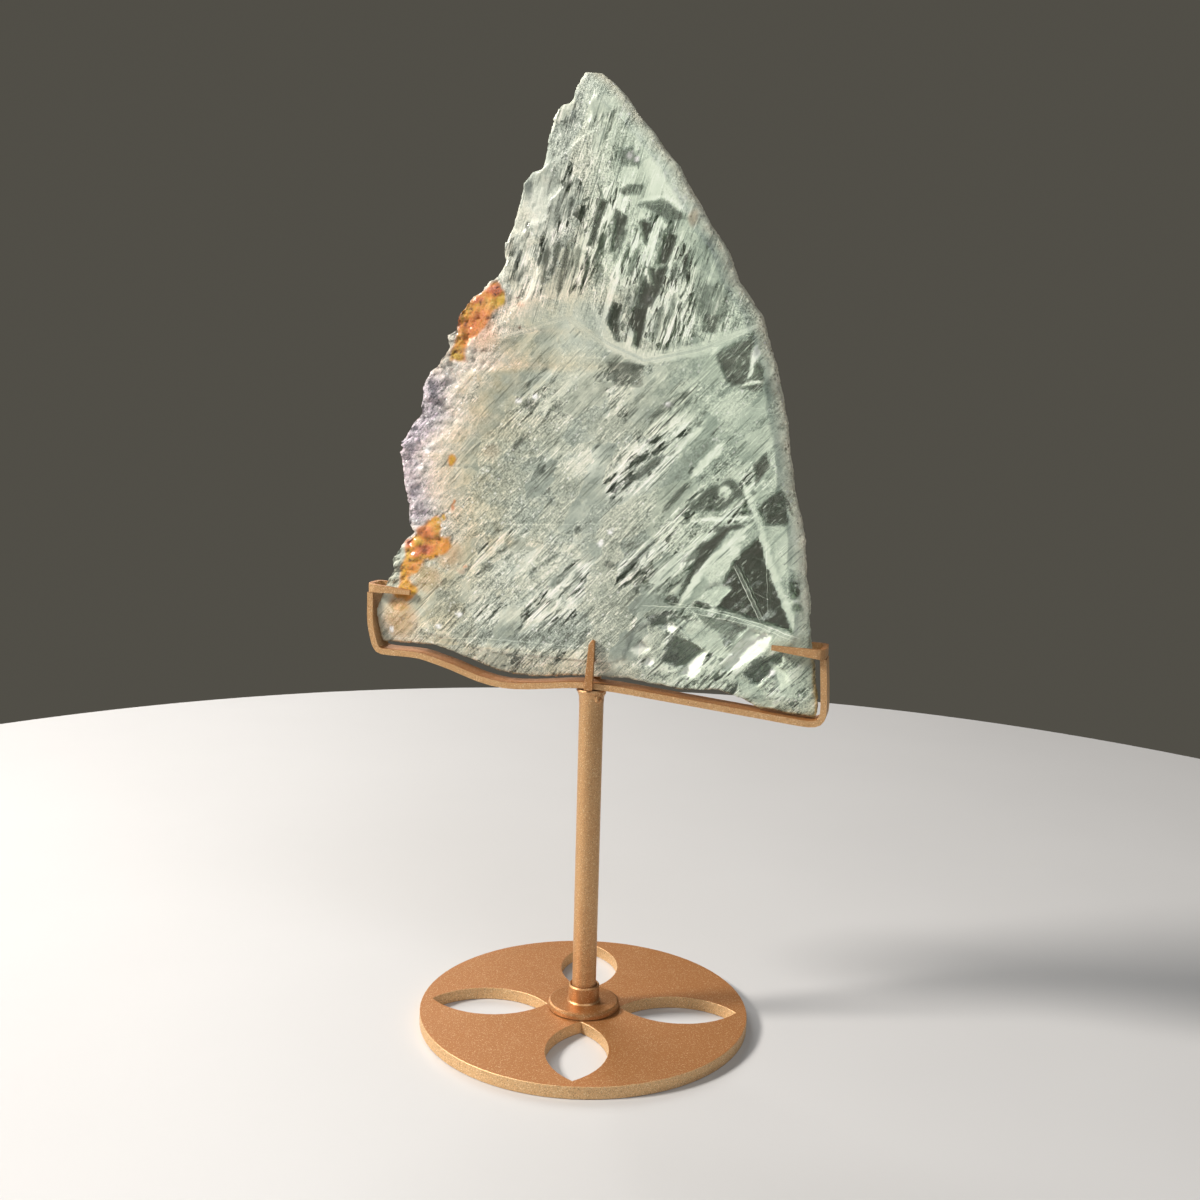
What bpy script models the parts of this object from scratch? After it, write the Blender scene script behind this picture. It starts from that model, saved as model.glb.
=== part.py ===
"""A slab of fluorite standing in a gold-painted metal stand.

The stand is a round plate with four pointed openings, a turned hub, a rod, and a cradle
of bent flat strip whose forks and prongs hold the slab on edge. The slab is one solid.

Lengths are in millimetres and MM turns them into metres. The origin is the middle of the
plate's underside. The cradle and the slab share a frame of their own, turned about the
rod: u runs along the slab to the right, w through it to the back, and z up.
"""

import math

import bmesh
import bpy
import numpy as np
from mathutils import Euler, Matrix, Vector

MM = 0.001
TOUCH_GAP = 0.3

DISC_DIAMETER = 110.0
DISC_THICKNESS = 4.0
DISC_TURN = math.radians(-3.14)
PETAL_COUNT = 4
PETAL_INNER_RADIUS = 12.4
PETAL_OUTER_RADIUS = 51.4
PETAL_WIDTH = 20.0

FLANGE_DIAMETER = 24.0
FLANGE_THICKNESS = 2.0
COLLAR_DIAMETER = 10.4
COLLAR_TOP = 12.0
ROD_DIAMETER = 8.0
ROD_TOP = 113.6
WELD_FLARE = 1.0
WELD_HEIGHT = 3.2

CRADLE_TURN = math.radians(-15.0)
STRIP_THICKNESS = 2.0
STRIP_DEPTH = 8.0
LEFT_ARM_TOP = 141.0
RIGHT_ARM_TOP = 129.4
STRIP_ROUTE = [
    (-76.65, LEFT_ARM_TOP), (-76.7, 136.0), (-76.65, 131.0), (-75.7, 126.0), (-74.6, 122.7),
    (-72.4, 121.2), (-65.0, 121.0), (-59.0, 120.7), (-53.5, 119.4), (-47.0, 117.6),
    (-38.0, 114.6), (-29.2, 113.1), (-20.4, 113.4), (-10.0, 114.6), (-3.0, 115.2),
    (8.5, 114.8), (21.0, 113.6), (37.6, 112.0), (56.0, 110.2), (68.0, 109.0),
    (72.9, 109.0), (75.0, 110.6), (75.5, 114.0), (75.2, 121.0), (74.6, RIGHT_ARM_TOP),
]

FORK_THICKNESS = 1.6
LEFT_FORK_ROUTE = [
    (-61.9, -4.6), (-69.0, -4.6), (-74.6, -4.6), (-76.1, -4.0), (-76.7, -2.5), (-76.7, 0.0),
    (-76.7, 2.2), (-76.1, 3.7), (-74.6, 4.3), (-69.0, 4.3), (-63.0, 4.3),
]
LEFT_FORK_MIDDLE = 142.75
LEFT_FORK_HEIGHTS = (1.55, 2.9)
LEFT_FORK_DROP = 0.8
RIGHT_FORK_ROUTE = [
    (58.8, -5.8), (66.0, -5.8), (72.5, -5.8), (74.0, -5.2), (74.6, -3.7), (74.6, 0.0),
    (74.6, 4.0), (74.0, 5.5), (72.5, 6.1), (66.0, 6.1), (60.0, 6.1),
]
RIGHT_FORK_MIDDLE = 131.3
RIGHT_FORK_HEIGHTS = (1.4, 3.2)
RIGHT_FORK_DROP = -1.2

PRONG_THICKNESS = 1.5
PRONG_OUTLINE = [(-1.2, 113.95), (1.6, 113.95), (2.1, 130.2), (1.3, 130.8), (0.1, 129.0)]
FRONT_PRONG_W = -5.15
REAR_PRONG_W = 5.15

SLAB_LEFT = [
    (-73.0, 124.0), (-75.1, 129.0), (-75.0, 135.5), (-72.2, 142.5), (-69.0, 149.0),
    (-69.0, 152.5), (-66.0, 157.0), (-61.0, 161.0), (-63.5, 165.0), (-63.0, 168.5),
    (-64.5, 175.5), (-65.5, 182.0), (-66.5, 188.0), (-63.5, 195.0), (-59.0, 200.5),
    (-59.0, 205.5), (-58.0, 211.5), (-53.5, 216.5), (-49.5, 222.5), (-50.5, 225.5),
    (-47.5, 227.5), (-46.5, 232.5), (-42.0, 237.0), (-35.0, 243.0), (-31.0, 248.5),
    (-31.5, 254.0), (-29.0, 259.5), (-27.0, 265.5), (-25.5, 272.5), (-22.5, 276.5),
    (-19.0, 277.0), (-18.0, 285.5), (-16.0, 292.0), (-13.5, 296.0), (-10.0, 297.0),
    (-9.0, 301.5), (-6.5, 305.5),
]
SLAB_RIGHT = [
    (-1.5, 305.5), (6.0, 299.0), (13.0, 289.5), (14.8, 288.0), (20.5, 280.5), (24.0, 277.0),
    (27.0, 271.0), (33.0, 261.5), (39.5, 252.5), (43.5, 243.0), (50.5, 233.5),
    (53.5, 224.5), (56.0, 217.5), (60.0, 201.0), (62.0, 187.5), (63.0, 180.5),
    (65.0, 174.0), (67.0, 166.0), (67.5, 157.5), (69.5, 145.0), (70.0, 136.0),
    (71.5, 126.5), (72.0, 120.5), (73.3, 114.5), (73.0, 111.0),
]
SLAB_FOOT = [
    (72.0, 110.4), (66.5, 110.6), (63.0, 110.9), (60.0, 111.6), (55.0, 112.0), (49.5, 114.8),
    (42.0, 117.0), (33.0, 116.2), (28.0, 116.2), (19.5, 117.2), (12.0, 118.3), (-2.5, 117.8),
    (-12.0, 117.0), (-21.0, 116.4), (-27.5, 116.4), (-32.5, 117.2), (-43.0, 121.0),
    (-52.0, 123.5), (-55.0, 124.5), (-57.5, 124.0), (-66.0, 124.0),
]
SLAB_FRONT_MID = 4.0
SLAB_BACK_MID = 4.0
FRONT_FLARE = 0.0082
BACK_FLARE = 0.0135
BLANK_HALF = 5.0
GRID_STEP = 4.2
RIM_ROW_W = 1.5
RIM_BULGE = 0.35
SLIVER = 0.5

STREAK_ANGLE_UPPER = math.radians(70.0)
STREAK_ANGLE_LOWER = math.radians(45.0)
STREAK_CHANGE_Z = 217.0
BLADE_LENGTH = 30.0
BLADE_WIDTH = 9.0
BLADE_DEPTH = 1.5
CRUST_CELL = 6.5
CRUST_DEPTH = 1.3
CRUST_WIDTH = 17.0
FRONT_BEVELS = [
    (16.0, 143.0, -99.0, 0.085), (60.0, 121.0, -80.0, 0.28), (20.0, 123.5, -92.0, 0.30),
    (-45.0, 127.0, -104.0, 0.30), (66.0, 150.0, -8.0, 0.25),
]
BEVEL_START_U = 8.0
BEVEL_RAMP = 14.0
RIND_WIDTH = 5.0
RIND_SLOPE = 0.32
BACK_EDGE_WIDTH = 6.0
BACK_EDGE_SLOPE = 0.28
DEEPEST_SHARE = 0.36

CRYSTAL_SEED = 4
CRYSTAL_BANDS = [(150.0, 160.0, 5, 4.6), (166.0, 214.0, 17, 5.6), (221.0, 243.0, 8, 4.4)]
CRYSTAL_SINK = 0.52


def clear_scene():
    for old in list(bpy.data.objects):
        bpy.data.objects.remove(old, do_unlink=True)


def new_collection(name):
    collection = bpy.data.collections.new(name)
    bpy.context.scene.collection.children.link(collection)
    return collection


def make_material(name, colour, roughness, metallic, transmission=0.0, ior=1.5):
    material = bpy.data.materials.new(name)
    material.use_nodes = True
    shader = material.node_tree.nodes["Principled BSDF"]
    shader.inputs["Base Color"].default_value = (*colour, 1.0)
    shader.inputs["Roughness"].default_value = roughness
    shader.inputs["Metallic"].default_value = metallic
    shader.inputs["Transmission Weight"].default_value = transmission
    shader.inputs["IOR"].default_value = ior
    material.diffuse_color = (*colour, 1.0)
    return material


def gold_paint(name):
    return make_material(name, (0.46, 0.27, 0.11), 0.42, 0.75)


def pale_fluorite():
    return make_material("pale_fluorite", (0.66, 0.76, 0.66), 0.08, 0.0, 0.7, 1.434)


def add_object(name, mesh, material, collection, parent=None):
    mesh.materials.clear()
    mesh.materials.append(material)
    thing = bpy.data.objects.new(name, mesh)
    collection.objects.link(thing)
    thing.parent = parent
    return thing


def bevel_edges(thing, width):
    bevel = thing.modifiers.new("edge", "BEVEL")
    bevel.width = width * MM
    bevel.segments = 1
    bevel.limit_method = "ANGLE"
    bevel.angle_limit = math.radians(40.0)


def outline_mesh(outlines, half_thickness, upright):
    """A filled flat outline as a mesh; an upright one stands in the plane of u and z."""
    curve = bpy.data.curves.new("outline", "CURVE")
    curve.dimensions = "2D"
    curve.fill_mode = "BOTH"
    curve.extrude = half_thickness * MM
    for outline in outlines:
        spline = curve.splines.new("POLY")
        spline.points.add(len(outline) - 1)
        for point, (x, y) in zip(spline.points, outline):
            point.co = (x * MM, y * MM, 0.0, 1.0)
        spline.use_cyclic_u = True
    guide = bpy.data.objects.new("outline", curve)
    bpy.context.scene.collection.objects.link(guide)
    depsgraph = bpy.context.evaluated_depsgraph_get()
    mesh = bpy.data.meshes.new_from_object(guide.evaluated_get(depsgraph))
    bpy.data.objects.remove(guide, do_unlink=True)
    bm = bmesh.new()
    bm.from_mesh(mesh)
    bmesh.ops.remove_doubles(bm, verts=bm.verts, dist=0.00001)
    if upright:
        bmesh.ops.rotate(bm, verts=bm.verts, matrix=Matrix.Rotation(math.radians(90.0), 3, "X"))
    bmesh.ops.recalc_face_normals(bm, faces=bm.faces)
    bm.to_mesh(mesh)
    bm.free()
    return mesh


def turned(name, profile, steps, material, collection):
    """A profile at +X, top to bottom on its outer side, swept round by a Screw modifier."""
    mesh = bpy.data.meshes.new(name)
    bm = bmesh.new()
    verts = [bm.verts.new((radius * MM, 0.0, z * MM)) for radius, z in profile]
    for first, second in zip(verts, verts[1:]):
        bm.edges.new((first, second))
    if profile[0][0] > 0.0:
        bm.edges.new((verts[-1], verts[0]))
    bm.to_mesh(mesh)
    bm.free()
    thing = add_object(name, mesh, material, collection)
    screw = thing.modifiers.new("turn", "SCREW")
    screw.angle = 2.0 * math.pi
    screw.steps = steps
    screw.render_steps = steps
    screw.use_merge_vertices = True
    screw.merge_threshold = 0.00001
    screw.use_normal_calculate = False
    return thing


def smooth_route(points, pieces):
    """Points on a Catmull-Rom curve through a route, with its ends kept."""
    padded = [points[0], *points, points[-1]]
    route = []
    for a, b, c, d in zip(padded, padded[1:], padded[2:], padded[3:]):
        for i in range(pieces):
            t = i / pieces
            weights = (
                -0.5 * t + t * t - 0.5 * t ** 3,
                1.0 - 2.5 * t * t + 1.5 * t ** 3,
                0.5 * t + 2.0 * t * t - 1.5 * t ** 3,
                0.5 * t ** 3 - 0.5 * t * t,
            )
            route.append(tuple(sum(k * p[axis] for k, p in zip(weights, (a, b, c, d)))
                               for axis in (0, 1)))
    route.append(points[-1])
    return route


def strip_outline(route, thickness):
    """The outline of a strip of even thickness along a route."""
    sides = ([], [])
    for i, (x, y) in enumerate(route):
        before = Vector(route[max(i - 1, 0)])
        after = Vector(route[min(i + 1, len(route) - 1)])
        along = (after - before).normalized()
        across = Vector((-along.y, along.x)) * thickness / 2.0
        sides[0].append((x + across.x, y + across.y))
        sides[1].append((x - across.x, y - across.y))
    return sides[0] + sides[1][::-1]


def petal_outline(turn):
    """Two arcs that meet in a point near the rim and in one at the hub."""
    half_length = (PETAL_OUTER_RADIUS - PETAL_INNER_RADIUS) / 2.0
    half_width = PETAL_WIDTH / 2.0
    middle = PETAL_INNER_RADIUS + half_length
    arc_radius = (half_length ** 2 + half_width ** 2) / (2.0 * half_width)
    half_sweep = math.asin(half_length / arc_radius)
    steps = 14
    outline = []
    for side in (1.0, -1.0):
        for i in range(steps):
            angle = side * half_sweep * (2.0 * i / steps - 1.0)
            x = middle + side * arc_radius * math.sin(side * angle)
            y = side * (arc_radius * math.cos(angle) - arc_radius + half_width)
            outline.append((x * math.cos(turn) - y * math.sin(turn),
                            x * math.sin(turn) + y * math.cos(turn)))
    return outline


def make_base_disc(collection):
    rim_points = 80
    rim = [(DISC_DIAMETER / 2.0 * math.cos(2.0 * math.pi * i / rim_points),
            DISC_DIAMETER / 2.0 * math.sin(2.0 * math.pi * i / rim_points))
           for i in range(rim_points)]
    petals = [petal_outline(2.0 * math.pi * i / PETAL_COUNT) for i in range(PETAL_COUNT)]
    mesh = outline_mesh([rim, *petals], DISC_THICKNESS / 2.0, upright=False)
    disc = add_object("base_disc", mesh, gold_paint("disc_paint"), collection)
    disc.location.z = DISC_THICKNESS / 2.0 * MM
    disc.rotation_euler.z = DISC_TURN
    bevel_edges(disc, 0.35)
    return disc


def make_hub(collection):
    foot = DISC_THICKNESS + TOUCH_GAP
    top = foot + FLANGE_THICKNESS
    flange = FLANGE_DIAMETER / 2.0
    collar = COLLAR_DIAMETER / 2.0
    bore = ROD_DIAMETER / 2.0 + TOUCH_GAP
    profile = [
        (bore, COLLAR_TOP - 0.3), (bore + 0.25, COLLAR_TOP), (collar - 0.4, COLLAR_TOP),
        (collar, COLLAR_TOP - 0.4), (collar, top + 0.5), (collar + 0.4, top),
        (flange - 0.8, top), (flange - 0.2, top - 0.3), (flange, top - 0.9), (flange, foot),
        (bore, foot),
    ]
    return turned("hub", profile, 40, gold_paint("hub_paint"), collection)


def make_rod(collection):
    foot = DISC_THICKNESS + TOUCH_GAP
    radius = ROD_DIAMETER / 2.0
    profile = [
        (0.0, ROD_TOP), (radius + WELD_FLARE * 0.85, ROD_TOP),
        (radius + WELD_FLARE, ROD_TOP - 0.5),
        (radius + WELD_FLARE * 0.45, ROD_TOP - WELD_HEIGHT * 0.5),
        (radius, ROD_TOP - WELD_HEIGHT), (radius, foot), (0.0, foot),
    ]
    return turned("rod", profile, 32, gold_paint("rod_paint"), collection)


def make_cradle_bar(collection, parent):
    outline = strip_outline(smooth_route(STRIP_ROUTE, 2), STRIP_THICKNESS)
    mesh = outline_mesh([outline], STRIP_DEPTH / 2.0, upright=True)
    bar = add_object("cradle_bar", mesh, gold_paint("bar_paint"), collection, parent)
    bevel_edges(bar, 0.25)
    return bar


def make_fork(name, route, middle, heights, drop, collection, parent):
    """A strip bent to a U round the slab's edge, its height tapering to both tips."""
    mesh = outline_mesh([strip_outline(smooth_route(route, 2), FORK_THICKNESS)], 0.5, upright=False)
    ends = [route[0][0], route[-1][0]]
    web = max(route, key=lambda point: min(abs(point[0] - end) for end in ends))[0]
    tip_height, web_height = heights
    for vert in mesh.vertices:
        end = ends[0] if vert.co.y < 0.0 else ends[1]
        reach = min(max((vert.co.x / MM - end) / (web - end), 0.0), 1.0)
        height = tip_height + (web_height - tip_height) * reach ** 1.3
        fall = drop * (1.0 - reach)
        vert.co.z = (middle - fall + height * vert.co.z / MM) * MM
    fork = add_object(name, mesh, gold_paint(name + "_paint"), collection, parent)
    bevel_edges(fork, 0.2)
    return fork


def make_prong(name, w, collection, parent):
    mesh = outline_mesh([PRONG_OUTLINE], PRONG_THICKNESS / 2.0, upright=True)
    prong = add_object(name, mesh, gold_paint(name + "_paint"), collection, parent)
    prong.location.y = w * MM
    bevel_edges(prong, 0.2)
    return prong


def edge_distance(u, z, line):
    """How far each point lies from a line of points."""
    nearest = np.full(u.shape, 1.0e9)
    for (u0, z0), (u1, z1) in zip(line, line[1:]):
        length_squared = (u1 - u0) ** 2 + (z1 - z0) ** 2
        t = np.clip(((u - u0) * (u1 - u0) + (z - z0) * (z1 - z0)) / length_squared, 0.0, 1.0)
        nearest = np.minimum(nearest, np.hypot(u - u0 - t * (u1 - u0), z - z0 - t * (z1 - z0)))
    return nearest


def cell_value(i, j, seed):
    value = np.sin(i * 127.1 + j * 311.7 + seed * 74.7) * 43758.5453
    return value - np.floor(value)


def cell_levels(x, y, seed, tilt):
    """Flat-topped cells, each at its own level from 0 to 1 and with its own tilt across."""
    nearest = np.full(x.shape, 1.0e9)
    level = np.zeros(x.shape)
    for di in (-1, 0, 1):
        for dj in (-1, 0, 1):
            i = np.floor(x) + di
            j = np.floor(y) + dj
            dx = x - i - cell_value(i, j, seed)
            dy = y - j - cell_value(i, j, seed + 1)
            here = cell_value(i, j, seed + 2) + tilt * dy
            closer = dx * dx + dy * dy < nearest
            level = np.where(closer, here, level)
            nearest = np.where(closer, dx * dx + dy * dy, nearest)
    return np.clip(level, 0.0, 1.0)


def front_recess(u, z):
    """How far the front lies behind its flat polished plane: rind, crust and cleavage."""
    recess = np.zeros(u.shape)
    for i, (u0, z0, angle, slope) in enumerate(FRONT_BEVELS):
        beyond = ((u - u0) * math.cos(math.radians(angle))
                  + (z - z0) * math.sin(math.radians(angle)))
        part = slope * beyond
        if i == 0:
            part = part * np.clip((u - BEVEL_START_U) / BEVEL_RAMP, 0.0, 1.0)
        recess = np.maximum(recess, part)
    rind = RIND_SLOPE * (RIND_WIDTH - edge_distance(u, z, SLAB_RIGHT))
    near_crust = np.clip(1.0 - edge_distance(u, z, SLAB_LEFT) / CRUST_WIDTH, 0.0, 1.0)
    crust = CRUST_DEPTH * near_crust * cell_levels(u / CRUST_CELL, z / CRUST_CELL, 11, 0.5)
    return np.maximum(recess, rind) + crust


def back_recess(u, z):
    """The rough back: long cleavage blades in two directions, thinning to the edges."""
    recess = np.zeros(u.shape)
    for angle, upper, seed in ((STREAK_ANGLE_UPPER, True, 21), (STREAK_ANGLE_LOWER, False, 31)):
        along = u * math.cos(angle) + z * math.sin(angle)
        across = z * math.cos(angle) - u * math.sin(angle)
        blades = BLADE_DEPTH * cell_levels(along / BLADE_LENGTH, across / BLADE_WIDTH, seed, 0.7)
        recess = np.where((z > STREAK_CHANGE_Z) == upper, blades, recess)
    edge = SLAB_LEFT + SLAB_RIGHT + SLAB_FOOT + SLAB_LEFT[:1]
    return recess + np.maximum(0.0, BACK_EDGE_SLOPE * (BACK_EDGE_WIDTH - edge_distance(u, z, edge)))


def cut_grid(bm):
    """Cuts the blank along a square grid and along two rows of its rim."""
    bottom = min(z for _, z in SLAB_FOOT)
    top = max(z for _, z in SLAB_RIGHT)
    left = min(u for u, _ in SLAB_LEFT)
    right = max(u for u, _ in SLAB_RIGHT)
    cuts = [((u, 0.0, 0.0), (1.0, 0.0, 0.0)) for u in np.arange(left + 1.7, right, GRID_STEP)]
    cuts += [((0.0, 0.0, z), (0.0, 0.0, 1.0)) for z in np.arange(bottom + 1.9, top, GRID_STEP)]
    cuts += [((0.0, w, 0.0), (0.0, 1.0, 0.0)) for w in (-RIM_ROW_W, RIM_ROW_W)]
    for place, normal in cuts:
        geometry = list(bm.verts) + list(bm.edges) + list(bm.faces)
        bmesh.ops.bisect_plane(bm, geom=geometry, plane_co=Vector(place) * MM, plane_no=normal)


def shape_slab(bm):
    """Moves the blank's front, back and rim to the stone's surface."""
    verts = list(bm.verts)
    points = np.array([vert.co for vert in verts]) / MM
    u, w, z = points.T
    flat_front = -(SLAB_FRONT_MID + FRONT_FLARE * u)
    flat_back = SLAB_BACK_MID + BACK_FLARE * u
    deepest = DEEPEST_SHARE * (flat_back - flat_front)
    front = flat_front + np.minimum(front_recess(u, z), deepest)
    back = flat_back - np.minimum(back_recess(u, z), deepest)
    is_front = w < -RIM_ROW_W - 0.5
    is_back = w > RIM_ROW_W + 0.5
    outward = np.array([vert.normal for vert in verts])
    roughness = RIM_BULGE * (2.0 * cell_value(np.round(u), np.round(z), 5) - 0.6)
    middle = (front + back) / 2.0
    new_w = np.where(is_front, front, np.where(is_back, back, middle + 0.35 * w))
    rim = ~(is_front | is_back)
    for i, vert in enumerate(verts):
        push = roughness[i] if rim[i] else 0.0
        vert.co = Vector((u[i] + push * outward[i, 0], new_w[i], z[i] + push * outward[i, 2])) * MM


def left_edge(z):
    heights = [point[1] for point in SLAB_LEFT]
    return float(np.interp(z, heights, [point[0] for point in SLAB_LEFT]))


def make_crystals(collection, material):
    """Small cubes of the crust that grew on the slab's left edge, as one cutter object."""
    random = np.random.default_rng(CRYSTAL_SEED)
    bm = bmesh.new()
    for low, high, count, size in CRYSTAL_BANDS:
        for i in range(count):
            z = low + (high - low) * (i + random.uniform(0.2, 0.8)) / count
            side = size * random.uniform(0.65, 1.15)
            place = Vector((left_edge(z) + CRYSTAL_SINK * side, random.uniform(-1.6, 1.6), z)) * MM
            turn = Euler(random.uniform(-0.9, 0.9, 3)).to_matrix().to_4x4()
            bmesh.ops.create_cube(bm, size=side * MM, matrix=Matrix.Translation(place) @ turn)
    mesh = bpy.data.meshes.new("crust_crystals")
    bm.to_mesh(mesh)
    bm.free()
    cubes = add_object("crust_crystals", mesh, material, collection)
    cubes.hide_render = True
    cubes.display_type = "WIRE"
    return cubes


def make_slab(collection, cutters, parent):
    material = pale_fluorite()
    mesh = outline_mesh([SLAB_LEFT + SLAB_RIGHT + SLAB_FOOT], BLANK_HALF, upright=True)
    bm = bmesh.new()
    bm.from_mesh(mesh)
    for side in (-1.0, 1.0):
        face_up = [face for face in bm.faces if face.normal.y * side > 0.9]
        bmesh.ops.dissolve_faces(bm, faces=face_up)
    cut_grid(bm)
    bmesh.ops.remove_doubles(bm, verts=bm.verts, dist=SLIVER * MM)
    bm.normal_update()
    shape_slab(bm)
    bmesh.ops.triangulate(bm, faces=bm.faces)
    bmesh.ops.recalc_face_normals(bm, faces=bm.faces)
    bm.to_mesh(mesh)
    bm.free()
    slab = add_object("slab", mesh, material, collection, parent)
    crystals = make_crystals(cutters, material)
    crystals.parent = parent
    union = slab.modifiers.new("crust", "BOOLEAN")
    union.operation = "UNION"
    union.solver = "EXACT"
    union.use_self = True
    union.object = crystals
    return slab


def shade_round(thing):
    thing.data.shade_smooth()
    thing.data.set_sharp_from_angle(angle=math.radians(30.0))


clear_scene()
stand = new_collection("fluorite_slab")
cutters = new_collection("cutters")
cradle = bpy.data.objects.new("cradle_turn", None)
cradle.rotation_euler.z = CRADLE_TURN
stand.objects.link(cradle)

make_base_disc(stand)
for round_piece in (make_hub(stand), make_rod(stand)):
    shade_round(round_piece)
make_cradle_bar(stand, cradle)
make_fork("left_fork", LEFT_FORK_ROUTE, LEFT_FORK_MIDDLE, LEFT_FORK_HEIGHTS, LEFT_FORK_DROP,
          stand, cradle)
make_fork("right_fork", RIGHT_FORK_ROUTE, RIGHT_FORK_MIDDLE, RIGHT_FORK_HEIGHTS, RIGHT_FORK_DROP,
          stand, cradle)
make_prong("front_prong", FRONT_PRONG_W, stand, cradle)
make_prong("rear_prong", REAR_PRONG_W, stand, cradle)
make_slab(stand, cutters, cradle)
bpy.context.view_layer.update()
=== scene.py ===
"""The looks of a fluorite slab in its gold-painted stand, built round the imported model."""

import math

import bmesh
import bpy
import numpy as np
from mathutils import Matrix, Vector


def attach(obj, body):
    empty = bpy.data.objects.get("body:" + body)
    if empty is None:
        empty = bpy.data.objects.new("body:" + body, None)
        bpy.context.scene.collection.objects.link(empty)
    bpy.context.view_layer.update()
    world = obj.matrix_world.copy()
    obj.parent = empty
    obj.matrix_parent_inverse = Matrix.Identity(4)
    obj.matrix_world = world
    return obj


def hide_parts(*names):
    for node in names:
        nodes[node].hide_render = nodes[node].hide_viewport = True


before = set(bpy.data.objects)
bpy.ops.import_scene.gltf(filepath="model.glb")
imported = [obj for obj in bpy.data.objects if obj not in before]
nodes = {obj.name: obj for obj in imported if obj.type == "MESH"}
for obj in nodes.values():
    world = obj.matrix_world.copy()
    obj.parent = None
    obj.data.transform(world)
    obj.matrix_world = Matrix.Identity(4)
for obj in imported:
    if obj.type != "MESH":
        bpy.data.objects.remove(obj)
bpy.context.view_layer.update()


# The plate under the stand: 4 mm steel cut to a disc with four pointed openings, sprayed with
# a fine metallic gold. The flat top is even and brownish, and the cut edge shows a coarse,
# pale, sandy grain where the spray lies thin. Part of that split is painted light: upright
# faces are painted paler as if sunlit, and flat tops darker brown as if in shade.
MM = 0.001


class Wire:
    """One output in a material, on which Python's operators add Math nodes."""

    def __init__(self, tree, socket=None):
        self.tree = tree
        self.socket = socket

    def node(self, kind, settings=None, inputs=None, out=0):
        made = self.tree.nodes.new(kind)
        for name, value in (settings or {}).items():
            if name == "stops":
                self.set_stops(made.color_ramp.elements, value)
            else:
                setattr(made, name, value)
        for name, value in (inputs or {}).items():
            socket = self.pick(made.inputs, name)
            if isinstance(value, Wire):
                self.tree.links.new(value.socket, socket)
            elif socket.type == "RGBA":
                socket.default_value = (*value, 1.0)
            else:
                socket.default_value = value
        return Wire(self.tree, self.pick(made.outputs, out) if made.outputs else None)

    @staticmethod
    def set_stops(elements, stops):
        while len(elements) < len(stops):
            elements.new(1.0)
        for element, (place, colour) in zip(elements, stops):
            element.position = place
            element.color = (*colour, 1.0)

    @staticmethod
    def pick(sockets, name):
        """A socket by its number, or the enabled one of that name."""
        if isinstance(name, int):
            return sockets[name]
        return next(s for s in sockets if s.enabled and s.name == name)

    def maths(self, operation, *values):
        return self.node("ShaderNodeMath", {"operation": operation}, dict(enumerate(values)))

    def __add__(self, other):
        return self.maths("ADD", self, other)

    def __sub__(self, other):
        return self.maths("SUBTRACT", self, other)

    def __rsub__(self, other):
        return self.maths("SUBTRACT", other, self)

    def __mul__(self, other):
        return self.maths("MULTIPLY", self, other)

    __radd__ = __add__
    __rmul__ = __mul__

    def between(self, low, high):
        """0 below low, 1 above high, and smooth between them."""
        return self.node("ShaderNodeMapRange", {"interpolation_type": "SMOOTHSTEP"},
                         {"Value": self, "From Min": low, "From Max": high})

    def mix(self, first, second):
        """A colour that goes from first to second as this value goes from 0 to 1."""
        return self.node("ShaderNodeMix", {"data_type": "RGBA"},
                         {"Factor": self, "A": first, "B": second}, "Result")

    def noise(self, place, size, detail=3.0, roughness=0.5):
        """Noise whose lumps are about the given size."""
        return self.node("ShaderNodeTexNoise", {}, {
            "Vector": place, "Scale": 1.0 / size, "Detail": detail, "Roughness": roughness})

    def edges(self, place, size):
        """How far a place is from the nearest edge between grains, as a share of their size."""
        return self.node("ShaderNodeTexVoronoi", {"feature": "DISTANCE_TO_EDGE"},
                         {"Vector": place, "Scale": 1.0 / size})

    def grains(self, place, size, channel="X"):
        """A random value for each grain of the given size."""
        cells = self.node("ShaderNodeTexVoronoi", {},
                          {"Vector": place, "Scale": 1.0 / size}, "Color")
        return self.node("ShaderNodeSeparateXYZ", {}, {"Vector": cells}, channel)

    def bent(self, place, size, reach):
        """The place, pushed about by up to half the reach in waves of the given size."""
        push = self.node("ShaderNodeTexNoise", {}, {
            "Vector": place, "Scale": 1.0 / size, "Detail": 3.0}, "Color")
        return self.node("ShaderNodeVectorMath", {"operation": "MULTIPLY_ADD"}, {
            0: push, 1: (reach, reach, reach), 2: place})

    def tinted(self, strength, tint):
        """This colour, seen through a tint of the given strength."""
        return self.node("ShaderNodeMix", {"data_type": "RGBA", "blend_type": "MULTIPLY"},
                         {"Factor": strength, "A": self, "B": tint}, "Result")


def new_material(name):
    """An empty material, with a wire to build it from."""
    material = bpy.data.materials.new(name)
    material.use_nodes = True
    material.node_tree.nodes.clear()
    return material, Wire(material.node_tree)


PAINT_TOP = (0.415, 0.172, 0.052)
PAINT_EDGE = (0.72, 0.455, 0.225)
PAINT_DEEP = (0.20, 0.090, 0.030)
FLAKE_COLOUR = (1.0, 0.82, 0.52)
PAINT_GRAIN = 0.34 * MM
PAINT_FLAKE = 0.22 * MM
PAINT_CLOUD = 9.0 * MM


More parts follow.
